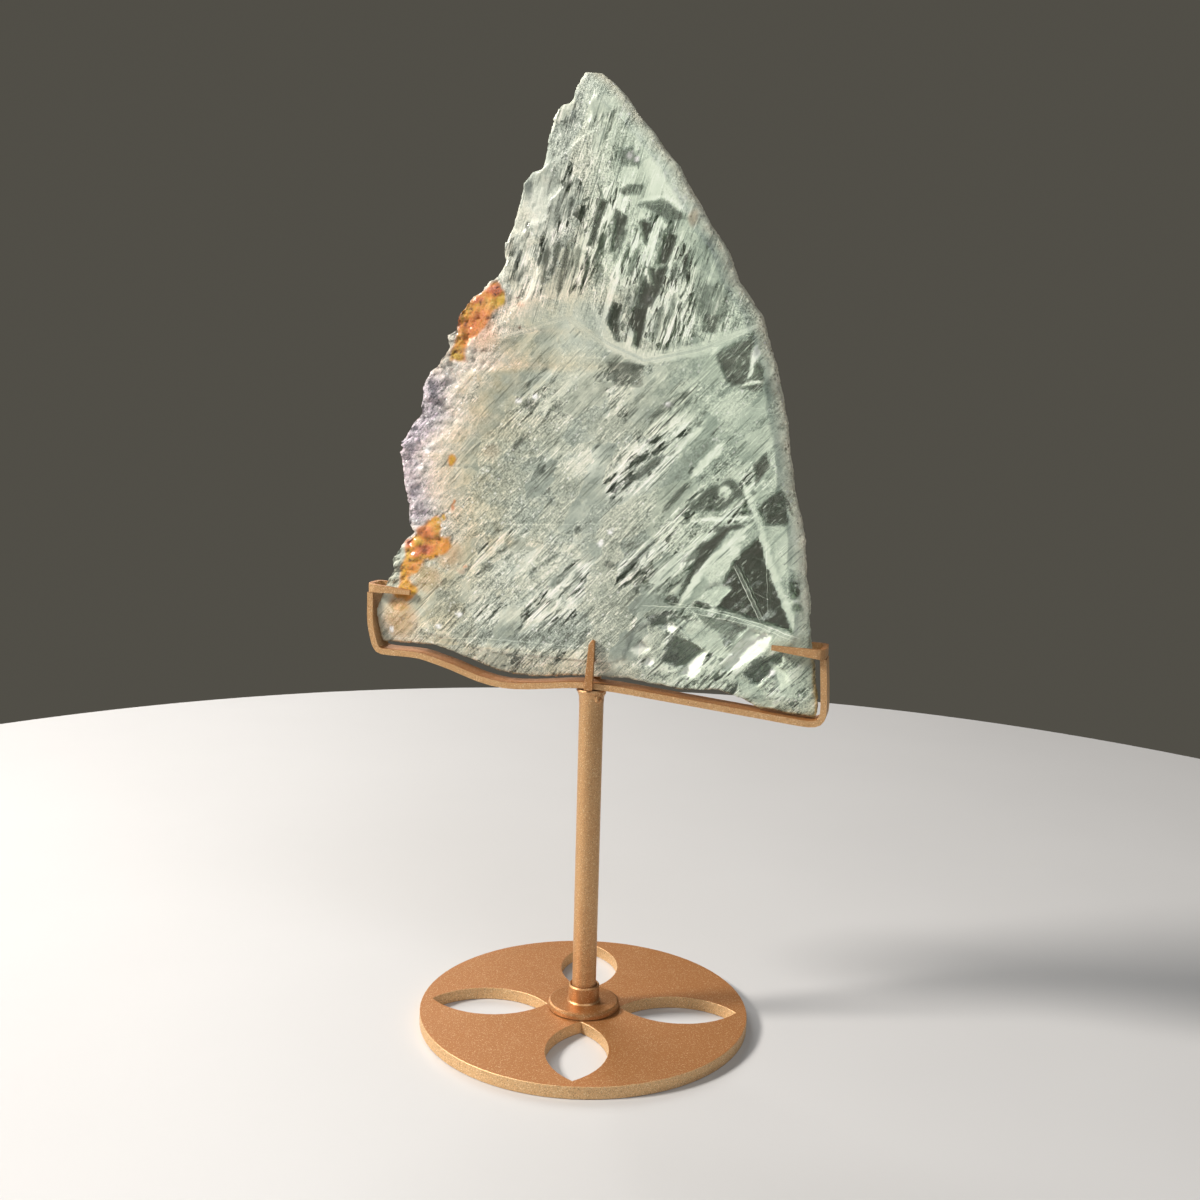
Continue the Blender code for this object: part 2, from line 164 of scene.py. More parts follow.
def gold_paint(name, sandy_and_sunlit, gloss):
    """Metallic spray paint: even and darker where a face lies flat, pale and sandy by this share
    elsewhere; the pale sides and darker tops are partly painted light.
    """
    material, wire = new_material(name)
    place = wire.node("ShaderNodeTexCoord", {}, {}, "Object")
    facing = wire.node("ShaderNodeNewGeometry", {}, {}, "Normal")
    flat = wire.node("ShaderNodeSeparateXYZ", {}, {"Vector": facing}, "Z")
    flat = flat.maths("ABSOLUTE", flat).between(0.75, 0.97)
    edge = (1.0 - flat) * sandy_and_sunlit
    grain = wire.noise(place, PAINT_GRAIN, 2.0, 0.7)
    cloud = wire.noise(place, PAINT_CLOUD, 3.0)
    flakes = wire.grains(place, PAINT_FLAKE)
    bright = flakes.between(0.86, 0.95) * (0.35 + 0.30 * edge)
    dark = (1.0 - grain.between(0.30, 0.48)) * (0.22 + 0.55 * edge)
    # Upright faces painted pale and flat faces darker brown: partly sandy grain, partly painted
    # sunlight on the sides and painted shade on the tops.
    colour = (edge + (cloud - 0.5) * 0.3).mix(PAINT_TOP, PAINT_EDGE)
    colour = dark.mix(colour, PAINT_DEEP)
    colour = bright.mix(colour, FLAKE_COLOUR)
    bump = wire.node("ShaderNodeBump", {}, {
        "Height": grain + 0.5 * flakes, "Strength": 0.35, "Distance": 0.08 * MM})
    shader = wire.node("ShaderNodeBsdfPrincipled", {}, {
        "Base Color": colour, "Metallic": 0.35 + 0.45 * gloss,
        "Roughness": (0.46 - 0.20 * gloss) + 0.22 * grain, "Normal": bump})
    wire.node("ShaderNodeOutputMaterial", {}, {"Surface": shader})
    return material


def paint(node, sandy_and_sunlit, gloss):
    nodes[node].data.materials.clear()
    nodes[node].data.materials.append(gold_paint(node + "_gold", sandy_and_sunlit, gloss))


paint("base_disc", 1.0, 0.3)


# The hub: a turned flange and collar welded to the plate, painted with it. Its collar takes
# the rod, with a thin dark gap round it.
paint("hub", 0.40, 0.75)


# The rod: 8 mm round steel, painted, with a weld flare under the cradle.
paint("rod", 0.70, 0.75)


# The cradle: flat strip on edge, bent to follow the slab's foot, with an arm at each end, a
# bent fork on each arm and a cut prong each side of the middle, all welded and painted.
for name, sandy_and_sunlit, gloss in (("cradle_bar", 0.75, 0.4), ("left_fork", 0.7, 0.4),
                           ("right_fork", 0.5, 0.4), ("front_prong", 0.25, 0.5),
                           ("rear_prong", 0.25, 0.5)):
    paint(name, sandy_and_sunlit, gloss)


# The weld at the top of the rod, under the strip: a flare run smooth at the left, and at the
# right front a lumpy bead with a pit in it. It is steel like the rod, and painted with it.
WELD_FLARE = [(108.9, 4.05), (111.2, 4.15), (112.6, 4.35), (113.4, 4.6)]
WELD_PIT = (2.55, -3.75, 111.1)
WELD_PIT_RING = 1.05
WELD_PIT_LUMPS = 7
WELD_LUMPS = [
    (3.9, -1.8, 112.6, 0.8), (1.2, -4.0, 112.9, 0.7), (3.0, -3.1, 112.9, 0.8),
    (-3.7, -1.6, 112.9, 0.7), (-2.9, -2.9, 113.0, 0.6), (4.2, 0.6, 112.9, 0.7),
    (0.2, -4.0, 112.6, 0.5),
]
WELD_VOXEL = 0.22 * MM


def even_mesh(thing, voxel):
    """Fuses a piece into one closed skin of even faces."""
    remesh = thing.modifiers.new("even", "REMESH")
    remesh.mode = "VOXEL"
    remesh.voxel_size = voxel
    depsgraph = bpy.context.evaluated_depsgraph_get()
    mesh = bpy.data.meshes.new_from_object(thing.evaluated_get(depsgraph))
    thing.modifiers.clear()
    thing.data = mesh


def new_piece(name, mesh):
    piece = bpy.data.objects.new(name, mesh)
    bpy.context.scene.collection.objects.link(piece)
    return piece


weld_mesh = bpy.data.meshes.new("weld_bead")
bm = bmesh.new()
for (bottom, bottom_radius), (top, top_radius) in zip(WELD_FLARE, WELD_FLARE[1:]):
    bmesh.ops.create_cone(bm, cap_ends=True, segments=48, radius1=bottom_radius * MM,
                          radius2=top_radius * MM, depth=(top - bottom + 0.02) * MM,
                          matrix=Matrix.Translation((0.0, 0.0, 0.5 * (bottom + top) * MM)))
pit_lumps = []
for step in range(WELD_PIT_LUMPS):
    turn = math.radians(40.0 + 46.0 * step)
    pit_lumps.append((WELD_PIT[0] + WELD_PIT_RING * 0.8 * math.cos(turn),
                      WELD_PIT[1] + WELD_PIT_RING * 0.5 * math.cos(turn),
                      WELD_PIT[2] + WELD_PIT_RING * math.sin(turn), 0.55))
for x, y, z, radius in WELD_LUMPS + pit_lumps:
    middle = Matrix.Translation(Vector((x, y, z)) * MM)
    bmesh.ops.create_icosphere(bm, subdivisions=3, radius=radius * MM, matrix=middle)
bm.to_mesh(weld_mesh)
bm.free()
weld = new_piece("weld_bead", weld_mesh)
even_mesh(weld, WELD_VOXEL)
weld.data.shade_smooth()
weld.data.materials.append(gold_paint("weld_gold", 0.60, 0.7))
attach(weld, "root")


# The stone: one slice of pale green fluorite about 8 mm thick, sawn and polished flat in
# front and left as it cleaved behind. Its left edge keeps the crust of small crystals that
# it grew against, stained by iron, and its right edge a thin tan rind.
SLAB_TURN = math.radians(-15.0)
STONE_VOXEL = 0.72 * MM
FRONT_PLANE = 4.0
FRONT_FLARE = 0.0082
PLANE_REACH = 0.35
EDGE_STEP = 1.5
UPPER_BLADES = math.radians(73.0)
LOWER_BLADES = math.radians(46.0)
CRUST_REACH = 19.0
CRUST_DEPTHS = (0.9, 0.5)
RIND_REACH = 4.2
RIND_DEPTHS = (0.5, 0.4)
FURROW_DEPTH = 0.20
DEEPEST_FACET = 2.2
CLEAVED_DEPTHS = (0.7, 0.35)
RIM_GRAIN = 1.9
RIM_DEPTH = 0.45
WINDOW_EDGE = 2.0
WOBBLE = 0.9
WOBBLE_WAVE = 2.1
# Half size of the painted glint spots.
PAINTED_GLINT_SIZE = (0.9, 0.8)
SPECK_SIZE = (0.6, 0.6)
CHANGE_LINE = [(-70.0, 214.0), (-30.0, 226.0), (-10.0, 232.0), (3.0, 224.0), (15.0, 219.0),
               (33.0, 223.0), (52.0, 231.0)]


def cell_value(i, j, seed):
    """A scattered value from 0 to 1, the same each time for the same cell and seed."""
    value = np.sin(i * 127.1 + j * 311.7 + seed * 74.7) * 43758.5453
    return value - np.floor(value)


def cell_levels(x, y, seed, tilt):
    """Flat-topped cells, each at its own level from 0 to 1 and with its own tilt across."""
    nearest = np.full(x.shape, 1.0e9)
    level = np.zeros(x.shape)
    for di in (-1, 0, 1):
        for dj in (-1, 0, 1):
            i = np.floor(x) + di
            j = np.floor(y) + dj
            dx = x - i - cell_value(i, j, seed)
            dy = y - j - cell_value(i, j, seed + 1)
            here = cell_value(i, j, seed + 2) + tilt * dy
            closer = dx * dx + dy * dy < nearest
            level = np.where(closer, here, level)
            nearest = np.where(closer, dx * dx + dy * dy, nearest)
    return np.clip(level, 0.0, 1.0)


def cloud(x, y, seed):
    """Smooth noise from 0 to 1."""
    i, j = np.floor(x), np.floor(y)
    s, t = x - i, y - j
    s, t = s * s * (3.0 - 2.0 * s), t * t * (3.0 - 2.0 * t)
    low = cell_value(i, j, seed) * (1.0 - s) + cell_value(i + 1, j, seed) * s
    high = cell_value(i, j + 1, seed) * (1.0 - s) + cell_value(i + 1, j + 1, seed) * s
    return low * (1.0 - t) + high * t


def ramp(value, low, high):
    """0 below low, 1 above high, and smooth between them."""
    t = np.clip((value - low) / (high - low), 0.0, 1.0)
    return t * t * (3.0 - 2.0 * t)


def to_line(u, z, start, end):
    """The nearest point of a line: its share of the way to the end, and how far off it is."""
    (u0, z0), (u1, z1) = start, end
    length_squared = (u1 - u0) ** 2 + (z1 - z0) ** 2
    share = np.clip(((u - u0) * (u1 - u0) + (z - z0) * (z1 - z0)) / length_squared, 0.0, 1.0)
    return share, np.hypot(u - u0 - share * (u1 - u0), z - z0 - share * (z1 - z0))


def blade(u, z, points, widths, soft):
    """A mask along a line of points, pointed at its ends, from the first to the last width."""
    mask = np.zeros(u.shape)
    count = len(points) - 1
    for k in range(count):
        along, off = to_line(u, z, points[k], points[k + 1])
        share = (k + along) / count
        pointed = np.minimum(1.0, 0.15 + 6.0 * np.minimum(share, 1.0 - share))
        half = 0.5 * (widths[0] + (widths[1] - widths[0]) * share) * pointed
        mask = np.maximum(mask, 1.0 - ramp(off, half - soft * 0.5, half + soft * 0.5))
    return mask


def patch(u, z, corners, soft):
    """A mask inside a shape with straight sides, with soft edges."""
    inside = np.zeros(u.shape, bool)
    nearest = np.full(u.shape, 1.0e9)
    for (u0, z0), (u1, z1) in zip(corners, corners[1:] + corners[:1]):
        nearest = np.minimum(nearest, to_line(u, z, (u0, z0), (u1, z1))[1])
        crosses = (z0 > z) != (z1 > z)
        if z1 != z0:
            inside ^= crosses & (u < u0 + (z - z0) * (u1 - u0) / (z1 - z0))
    return ramp(np.where(inside, nearest, -nearest), -soft * 0.5, soft * 0.5)


def spot(u, z, middle, size, soft):
    """A round or oval mask."""
    off = np.hypot((u - middle[0]) / size[0], (z - middle[1]) / size[1])
    return 1.0 - ramp(off, 1.0 - soft, 1.0 + soft)


stone_mesh = nodes["slab"].data.copy()
stone_mesh.transform(Matrix.Rotation(-SLAB_TURN, 4, "Z"))
stone = new_piece("fluorite", stone_mesh)
even_mesh(stone, STONE_VOXEL)
mesh = stone.data
count = len(mesh.vertices)
spots = np.empty(count * 3, np.float32)
mesh.vertices.foreach_get("co", spots)
u, w, z = (spots.reshape(-1, 3) / MM).astype(float).T
outward = np.empty(count * 3, np.float32)
mesh.vertices.foreach_get("normal", outward)
nu, nw, nz = outward.reshape(-1, 3).astype(float).T

rows = ((z - z.min()) / EDGE_STEP).astype(int)
row_heights = z.min() + (np.arange(rows.max() + 1) + 0.5) * EDGE_STEP
left_line = np.full(rows.max() + 1, 1.0e9)
right_line = np.full(rows.max() + 1, -1.0e9)
np.minimum.at(left_line, rows, u)
np.maximum.at(right_line, rows, u)
left_lean = 1.0 / np.hypot(1.0, np.gradient(left_line, row_heights))
right_lean = 1.0 / np.hypot(1.0, np.gradient(right_line, row_heights))
from_left = (u - np.interp(z, row_heights, left_line)) * np.interp(z, row_heights, left_lean)
from_right = (np.interp(z, row_heights, right_line) - u) * np.interp(z, row_heights, right_lean)

# Facets broken into the lower right corner, each a flat cleavage of its own: its corners, its
# slope to the right and upwards, its depth, how clear it is and how light it looks. The whitest
# facets are painted sun glints.
FACETS = [
    ([(34.7, 141.5), (44.1, 139.7), (50.7, 137.8), (46.2, 132.2), (37.1, 137.5)],
     0.10, -0.06, 0.5, 0.50, 0.42),
    ([(25.8, 140.2), (34.8, 138.5), (42.6, 134.9), (44.6, 129.2), (41.6, 127.8), (33.8, 131.9),
      (28.8, 136.9)], -0.02, 0.04, 0.2, 0.12, 0.50),
    ([(19.3, 139.8), (25.1, 140.8), (25.3, 136.7), (20.1, 136.3)], 0.15, -0.10, 0.5, 0.7, 0.30),
    ([(23.3, 135.9), (25.9, 137.9), (28.9, 136.3), (26.6, 134.3)], -0.30, 0.30, 0.7, 0.0, 1.0),
    ([(27.8, 133.8), (33.8, 131.3), (38.1, 128.6), (32.4, 124.0), (28.2, 123.2), (23.4, 125.2)],
     0.12, -0.10, 0.9, 0.75, 0.28),
    ([(29.3, 121.5), (34.0, 126.6), (38.1, 129.3), (36.0, 123.2), (33.6, 120.0)],
     -0.30, 0.25, 1.0, 0.0, 1.0),
    ([(17.5, 123.6), (19.0, 126.0), (21.2, 124.8), (20.2, 122.9)], -0.3, 0.2, 0.6, 0.0, 1.0),
    ([(44.4, 128.8), (51.6, 137.9), (54.8, 136.5), (48.8, 129.1)], 0.20, -0.10, 0.7, 0.30, 0.60),
    ([(43.5, 124.3), (47.7, 129.7), (56.0, 136.5), (58.4, 136.0), (57.3, 132.1),
      (53.4, 128.3), (48.2, 125.5), (44.7, 123.1)], -0.25, 0.24, 0.8, 0.0, 0.90),
    ([(49.7, 123.1), (55.1, 127.7), (61.9, 131.0), (62.0, 127.6), (54.3, 119.3)],
     0.15, -0.15, 0.9, 0.75, 0.28),
    ([(47.1, 122.9), (55.5, 118.8), (60.4, 112.8), (51.1, 114.3)], 0.05, 0.10, 0.2, 0.15, 0.45),
    ([(58.0, 127.0), (63.0, 125.0), (66.5, 117.0), (62.0, 117.0)], -0.12, 0.16, 0.4, 0.10, 0.50),
    ([(13.0, 128.0), (17.0, 131.0), (20.0, 129.0), (16.0, 126.0)], 0.15, 0.20, 0.5, 0.2, 0.75),
    ([(36.0, 148.5), (40.5, 151.5), (44.8, 149.7), (40.0, 144.5)], 0.02, 0.12, 0.3, 0.15, 0.50),
]

# The light and dark shapes inside the stone. First the fields of shards, each with its corners,
# how softly it ends, how clear it is (1 shows through), how light and how streaky.
SHARD_FIELDS = [
    ([(-17.0, 258.0), (2.0, 271.0), (22.0, 262.0), (31.0, 247.0), (30.0, 227.0), (15.0, 221.5),
      (3.0, 226.0), (-5.0, 238.0), (-17.0, 240.0)], 4.0, 0.46, 0.54, 1.0),
    ([(-4.0, 291.0), (6.0, 296.0), (17.0, 284.0), (24.0, 270.0), (8.0, 266.0), (-9.0, 268.0),
      (-14.0, 274.0)], 3.0, 0.40, 0.53, 0.95),
    ([(-29.0, 250.0), (-19.0, 255.0), (-15.0, 240.0), (-27.0, 233.0)], 4.0, 0.34, 0.42, 0.8),
    ([(13.0, 142.0), (40.0, 142.0), (56.0, 137.0), (69.0, 126.0), (69.0, 110.0), (44.0, 112.0),
      (16.0, 121.0)], 4.0, 0.40, 0.44, 0.8),
    ([(-19.5, 256.5), (-9.0, 257.5), (-8.5, 240.5), (-18.5, 240.0)], 3.0, 0.56, 0.30, 1.0),
    ([(4.0, 150.0), (16.0, 160.0), (30.0, 176.0), (42.0, 190.0), (52.0, 188.0), (50.0, 173.0),
      (34.0, 156.0), (27.0, 145.0)], 5.0, 0.44, 0.50, 1.0),
    ([(2.0, 178.0), (10.0, 176.0), (28.0, 192.0), (34.0, 200.0), (26.0, 204.0), (6.0, 188.0)],
     6.0, 0.30, 0.58, 0.9),
    ([(-48.0, 150.0), (-30.0, 162.0), (-6.0, 162.0), (2.0, 150.0), (-6.0, 136.0), (-40.0, 132.0)],
     8.0, 0.22, 0.54, 0.8),
    ([(34.0, 244.0), (46.0, 238.0), (50.0, 230.0), (34.0, 225.0), (30.0, 234.0)],
     4.0, 0.34, 0.52, 0.6),
    ([(-56.0, 125.4), (-36.0, 127.4), (-10.0, 127.0), (4.0, 126.0), (4.0, 108.0), (-56.0, 112.0)],
     1.6, 0.30, 0.48, 0.6),
    ([(57.0, 200.0), (62.0, 180.0), (72.0, 140.0), (66.0, 136.0), (56.0, 168.0), (52.0, 196.0)],
     4.0, 0.38, 0.44, 0.5),
    ([(-8.0, 222.0), (14.0, 214.0), (14.0, 200.0), (-24.0, 200.0), (-26.0, 212.0)],
     8.0, 0.36, 0.40, 0.6),
]

# The windows: blades with their width at each end, patches with how softly they end, and spots
# with their half sizes. Each ends with how much shows through it.
CLEAR_BLADES = [
    ([(28.8, 253.5), (26.3, 243.1)], (1.4, 1.1), 0.9),
    ([(24.3, 248.8), (23.4, 243.4)], (1.3, 1.0), 0.8),
    ([(-13.1, 255.5), (-15.4, 244.1)], (2.1, 1.6), 0.75),
    ([(-10.0, 254.7), (-13.3, 238.5)], (2.2, 1.7), 0.8),
    ([(-6.8, 253.9), (-7.4, 244.9)], (1.8, 1.3), 0.7),
    ([(-16.9, 253.6), (-18.5, 240.9)], (2.5, 1.8), 0.75),
    ([(-8.8, 268.8), (-10.0, 265.1)], (2.1, 1.6), 0.7),
    ([(0.9, 248.1), (-1.0, 241.8)], (1.8, 1.3), 0.6),
    ([(20.3, 235.6), (18.2, 225.4)], (2.1, 1.3), 0.6),
    ([(24.2, 239.6), (22.1, 229.4)], (1.6, 1.1), 0.55),
    ([(22.1, 190.4), (12.5, 181.9)], (2.6, 2.0), 0.7),
    ([(31.6, 187.6), (30.6, 184.8)], (1.6, 1.4), 0.8),
    ([(31.3, 182.7), (22.3, 172.6)], (2.2, 1.8), 0.8),
    ([(29.9, 210.5), (17.6, 201.0)], (2.4, 1.4), 0.55),
    ([(22.0, 165.4), (9.5, 152.0)], (1.2, 0.8), 0.9),
    ([(38.8, 167.8), (48.7, 169.6)], (1.6, 1.6), 0.9),
    ([(36.0, 164.0), (30.5, 157.0)], (1.6, 1.0), 0.8),
    ([(-33.0, 156.0), (-24.0, 161.5)], (1.6, 1.0), 0.45),
    ([(-21.0, 150.5), (-10.0, 158.5)], (1.6, 1.0), 0.4),
    ([(-14.0, 146.5), (-5.0, 154.5)], (1.8, 1.0), 0.4),
]
CLEAR_PATCHES = [
    ([(-0.8, 267.8), (2.2, 267.3), (0.5, 262.1), (-2.1, 253.4), (-4.4, 253.7),
      (-2.6, 259.8)], 2.0, 0.95),
    ([(4.4, 265.0), (8.6, 262.8), (8.3, 257.4), (6.3, 251.2), (3.1, 252.0),
      (3.9, 259.7)], 2.0, 0.90),
    ([(12.2, 261.8), (16.0, 260.7), (16.2, 258.5), (14.3, 254.1), (13.0, 256.9)], 2.0, 0.97),
    ([(20.0, 258.7), (24.6, 256.7), (21.3, 247.9), (17.9, 248.5), (18.8, 254.2)], 2.0, 0.97),
    ([(14.5, 247.4), (21.8, 247.6), (19.5, 240.3), (16.5, 235.2), (11.7, 235.6),
      (13.0, 241.8)], 2.0, 0.95),
    ([(10.6, 235.6), (16.8, 235.6), (15.0, 230.1), (13.6, 223.0), (10.9, 223.7),
      (8.1, 222.9), (9.3, 229.2)], 2.0, 1.00),
    ([(4.7, 237.1), (8.1, 236.2), (6.4, 230.8), (7.6, 224.0), (4.1, 224.3),
      (2.2, 227.6), (3.2, 233.0)], 2.0, 0.97),
    ([(7.4, 259.7), (8.5, 259.4), (5.0, 248.8), (4.0, 249.5)], 2.0, 0.70),
    ([(11.2, 252.7), (12.7, 252.7), (10.3, 244.9), (9.0, 244.9)], 2.0, 0.80),
    ([(11.4, 266.3), (19.8, 268.0), (27.6, 261.5), (21.1, 261.0)], 2.0, 0.6),
    ([(30.6, 241.9), (33.7, 243.5), (38.6, 242.0), (42.3, 238.1), (40.6, 232.0), (34.2, 230.0),
      (31.0, 231.1)], 4.0, 0.45),
    ([(33.6, 232.6), (38.2, 232.4), (37.0, 227.6), (32.3, 228.0)], 2.6, 0.8),
    ([(5.3, 270.2), (9.0, 272.3), (14.0, 271.9), (12.3, 269.0), (6.6, 268.7)], 2.0, 0.75),
    ([(5.0, 282.6), (9.3, 283.1), (12.6, 277.2), (5.7, 277.6)], 2.0, 0.45),
    ([(2.9, 219.0), (14.9, 218.6), (14.8, 211.5), (6.0, 211.0)], 2.6, 0.65),
    ([(37.3, 221.2), (42.3, 224.9), (48.6, 227.7), (49.4, 220.9), (52.7, 217.4), (52.4, 210.2),
      (46.1, 211.1), (40.7, 213.5)], 2.4, 0.8),
    ([(50.3, 188.4), (54.3, 192.2), (55.6, 188.0), (51.5, 182.0)], 2.0, 0.85),
    ([(29.4, 173.0), (36.1, 180.4), (44.0, 184.4), (48.6, 179.2), (40.7, 173.5)], 2.0, 0.75),
    ([(52.0, 174.9), (55.1, 178.6), (59.5, 181.4), (61.5, 178.0), (63.4, 172.9), (61.9, 170.4),
      (54.8, 170.0)], 2.0, 0.9),
    ([(35.0, 162.9), (44.0, 169.9), (42.9, 166.3), (35.8, 155.4), (29.1, 145.9), (28.0, 145.8)],
     2.0, 0.95),
    ([(53.1, 166.9), (65.0, 137.1), (39.9, 143.5), (44.5, 157.8)], 2.0, 1.0),
    ([(63.0, 153.0), (67.5, 153.4), (68.4, 148.6), (63.7, 147.7)], 2.0, 0.95),
    ([(64.0, 146.9), (68.3, 147.5), (67.8, 144.0), (64.6, 144.1)], 2.0, 0.7),
]
CLEAR_SPOTS = [
    ((-24.0, 260.2), (0.9, 1.6), 0.5), ((26.3, 145.0), (2.4, 1.6), 0.95),
    ((35.8, 144.1), (3.4, 1.4), 0.95), ((-22.2, 204.5), (2.4, 1.8), 0.45),
    ((-12.5, 205.0), (2.4, 2.0), 0.35), ((-5.0, 165.5), (1.6, 1.6), 0.45),
    ((5.5, 155.0), (2.4, 1.4), 0.45), ((-35.5, 152.0), (2.4, 1.8), 0.4),
]

# What is milky, written as the windows are. Each ends with how light it looks. The first three
# patches lie across windows, and are sharper than the rest.
MILKY_BLADES = [
    ([(10.7, 229.0), (9.6, 222.0)], (1.6, 2.2), 0.72),
    ([(14.9, 247.0), (15.7, 241.7)], (1.4, 0.6), 0.8),
    ([(16.5, 236.0), (15.0, 226.0)], (0.8, 0.8), 0.7),
    ([(-1.6, 235.2), (4.1, 223.7), (14.8, 219.9), (32.6, 222.7), (49.1, 230.4)], (3.4, 4.4), 0.58),
    ([(11.0, 266.4), (19.5, 268.6), (28.5, 262.8)], (1.2, 1.4), 0.72),
    ([(50.3, 224.5), (47.7, 213.7)], (1.9, 0.8), 0.85),
    ([(45.0, 212.1), (52.0, 213.8)], (0.6, 0.6), 0.92),
    ([(14.0, 194.4), (4.7, 182.2)], (1.6, 0.9), 0.78),
    ([(33.8, 199.7), (25.6, 190.5)], (2.4, 1.4), 0.74),
    ([(41.0, 194.7), (31.2, 183.9)], (3.2, 1.8), 0.78),
    ([(30.5, 169.9), (40.0, 171.4), (51.5, 172.5)], (0.6, 1.5), 0.92),
    ([(46.1, 185.4), (52.6, 171.6), (57.0, 158.0), (66.5, 137.0)], (1.6, 2.8), 0.68),
    ([(51.4, 170.8), (35.3, 154.3), (29.2, 143.4)], (3.4, 1.6), 0.80),
    ([(61.7, 146.4), (68.5, 147.2)], (0.7, 0.7), 0.85),
    ([(61.5, 176.0), (66.0, 160.0), (69.0, 140.0)], (2.2, 2.0), 0.66),
]
MILKY_PATCHES = [
    ([(44.3, 161.9), (48.9, 164.3), (45.1, 158.5)], 0.8, 0.72),
    ([(35.3, 155.1), (43.7, 162.5), (44.9, 156.9), (39.5, 149.7)], 0.8, 0.62),
    ([(39.0, 151.0), (44.8, 149.7), (39.9, 143.5), (34.5, 146.2)], 0.8, 0.60),
    ([(-30.8, 236.7), (-15.0, 236.2), (-12.8, 226.9), (-28.7, 229.4)], 4.0, 0.46),
    ([(-14.0, 240.0), (-4.0, 240.0), (3.0, 222.0), (-12.0, 212.0)], 7.0, 0.56),
    ([(14.0, 296.0), (16.0, 284.0), (21.0, 272.0), (12.0, 274.0), (9.0, 288.0)], 4.0, 0.62),
    ([(21.0, 278.0), (29.0, 266.0), (24.0, 264.0), (17.0, 271.0)], 4.0, 0.62),
    ([(-24.0, 272.0), (-18.0, 274.0), (-20.0, 258.0), (-27.0, 258.0)], 5.0, 0.62),
    ([(39.0, 208.0), (55.0, 206.0), (52.0, 194.0), (40.0, 197.0)], 6.0, 0.56),
    ([(57.0, 140.0), (68.0, 141.0), (70.0, 128.0), (58.0, 130.0)], 3.0, 0.62),
    ([(52.0, 206.0), (59.0, 203.0), (63.0, 176.0), (58.0, 180.0)], 3.0, 0.58),
    ([(57.0, 170.0), (66.0, 168.0), (67.0, 154.0), (60.0, 155.0)], 3.0, 0.58),
]
MILKY_SPOTS = [((42.0, 180.0), (1.9, 1.5), 0.66), ((-4.0, 187.0), (7.0, 5.0), 0.60)]

# Thin lines, each from a start to an end, with its width and how brightly it shows, and sprays of
# needles, each with its middle and how far it reaches.
FINE_LINES = [
    ((-32.7, 166.1), (-10.7, 166.9), 0.30, 0.16), ((-12.0, 166.8), (31.0, 170.1), 0.25, 0.12),
    ((3.7, 181.5), (23.0, 182.3), 0.25, 0.16), ((45.8, 158.1), (55.8, 138.7), 0.80, 0.13),
    ((45.2, 158.0), (55.2, 138.9), 0.14, 0.50), ((55.4, 165.6), (57.2, 139.2), 0.14, 0.30),
    ((46.5, 157.6), (56.6, 138.9), 0.12, 0.40),
    ((16.0, 142.7), (36.6, 143.1), 0.16, 0.40), ((34.6, 143.2), (55.7, 139.2), 0.20, 0.45),
    ((53.7, 139.7), (68.5, 135.0), 0.20, 0.45), ((24.0, 144.4), (50.0, 141.6), 0.14, 0.34),
    ((30.0, 141.9), (57.0, 138.0), 0.14, 0.36), ((44.0, 141.8), (67.0, 134.2), 0.14, 0.36),
    ((-54.0, 126.8), (-36.0, 128.2), 0.32, 0.20), ((-38.0, 128.2), (4.6, 127.7), 0.30, 0.20),
    ((48.5, 150.5), (60.5, 146.0), 0.14, 0.22), ((50.5, 160.5), (58.0, 158.0), 0.12, 0.20),
]
NEEDLE_SPRAYS = [((44.1, 221.8), 6.5), ((33.0, 231.0), 6.0), ((62.0, 176.5), 6.0),
                 ((47.0, 205.5), 7.0), ((20.0, 265.5), 6.0), ((52.0, 171.0), 9.0)]
# Painted glints: white spots where the sun glinted off the stone, given by their middles.
PAINTED_GLINT_SPOTS = [(8.6, 280.4), (10.9, 279.4), (-44.7, 135.4), (-69.9, 128.7), (-57.1, 189.1),
            (5.8, 165.5), (3.0, 161.5), (-59.5, 183.1), (23.3, 206.0), (15.8, 238.0),
            (-25.5, 206.0), (58.8, 124.0), (-20.0, 207.0), (-52.5, 131.0)]

# Iron stains: patches with how softly they end and spots with their half sizes, then the tone
# (0 yellow, 0.5 orange, 1 brown) and the strength. Last, the places of the darkest specks.
STAINS = [
    ([(-30.8, 239.4), (-31.0, 236.0), (-35.0, 233.2), (-37.6, 228.6), (-41.1, 225.0), (-44.0, 221.3),
      (-43.7, 218.2), (-49.4, 217.8), (-49.4, 220.0), (-47.4, 224.9), (-46.9, 231.1), (-46.9, 233.0),
      (-43.8, 236.8), (-41.0, 238.8), (-36.0, 241.7), (-33.9, 243.2)], 2.2, 0.22, 0.95),
    ([(-60.9, 161.4), (-56.5, 166.0), (-53.1, 168.0), (-51.5, 166.3), (-52.7, 161.2), (-48.3, 160.9),
      (-47.7, 157.4), (-52.7, 154.1), (-57.1, 152.7), (-60.2, 148.3), (-63.7, 146.3), (-61.5, 144.1),
      (-60.8, 140.5), (-63.3, 138.6), (-68.8, 140.0), (-67.2, 144.3), (-66.6, 149.2),
      (-64.8, 153.5), (-65.4, 156.8), (-62.6, 160.6)], 2.2, 0.20, 0.95),
]
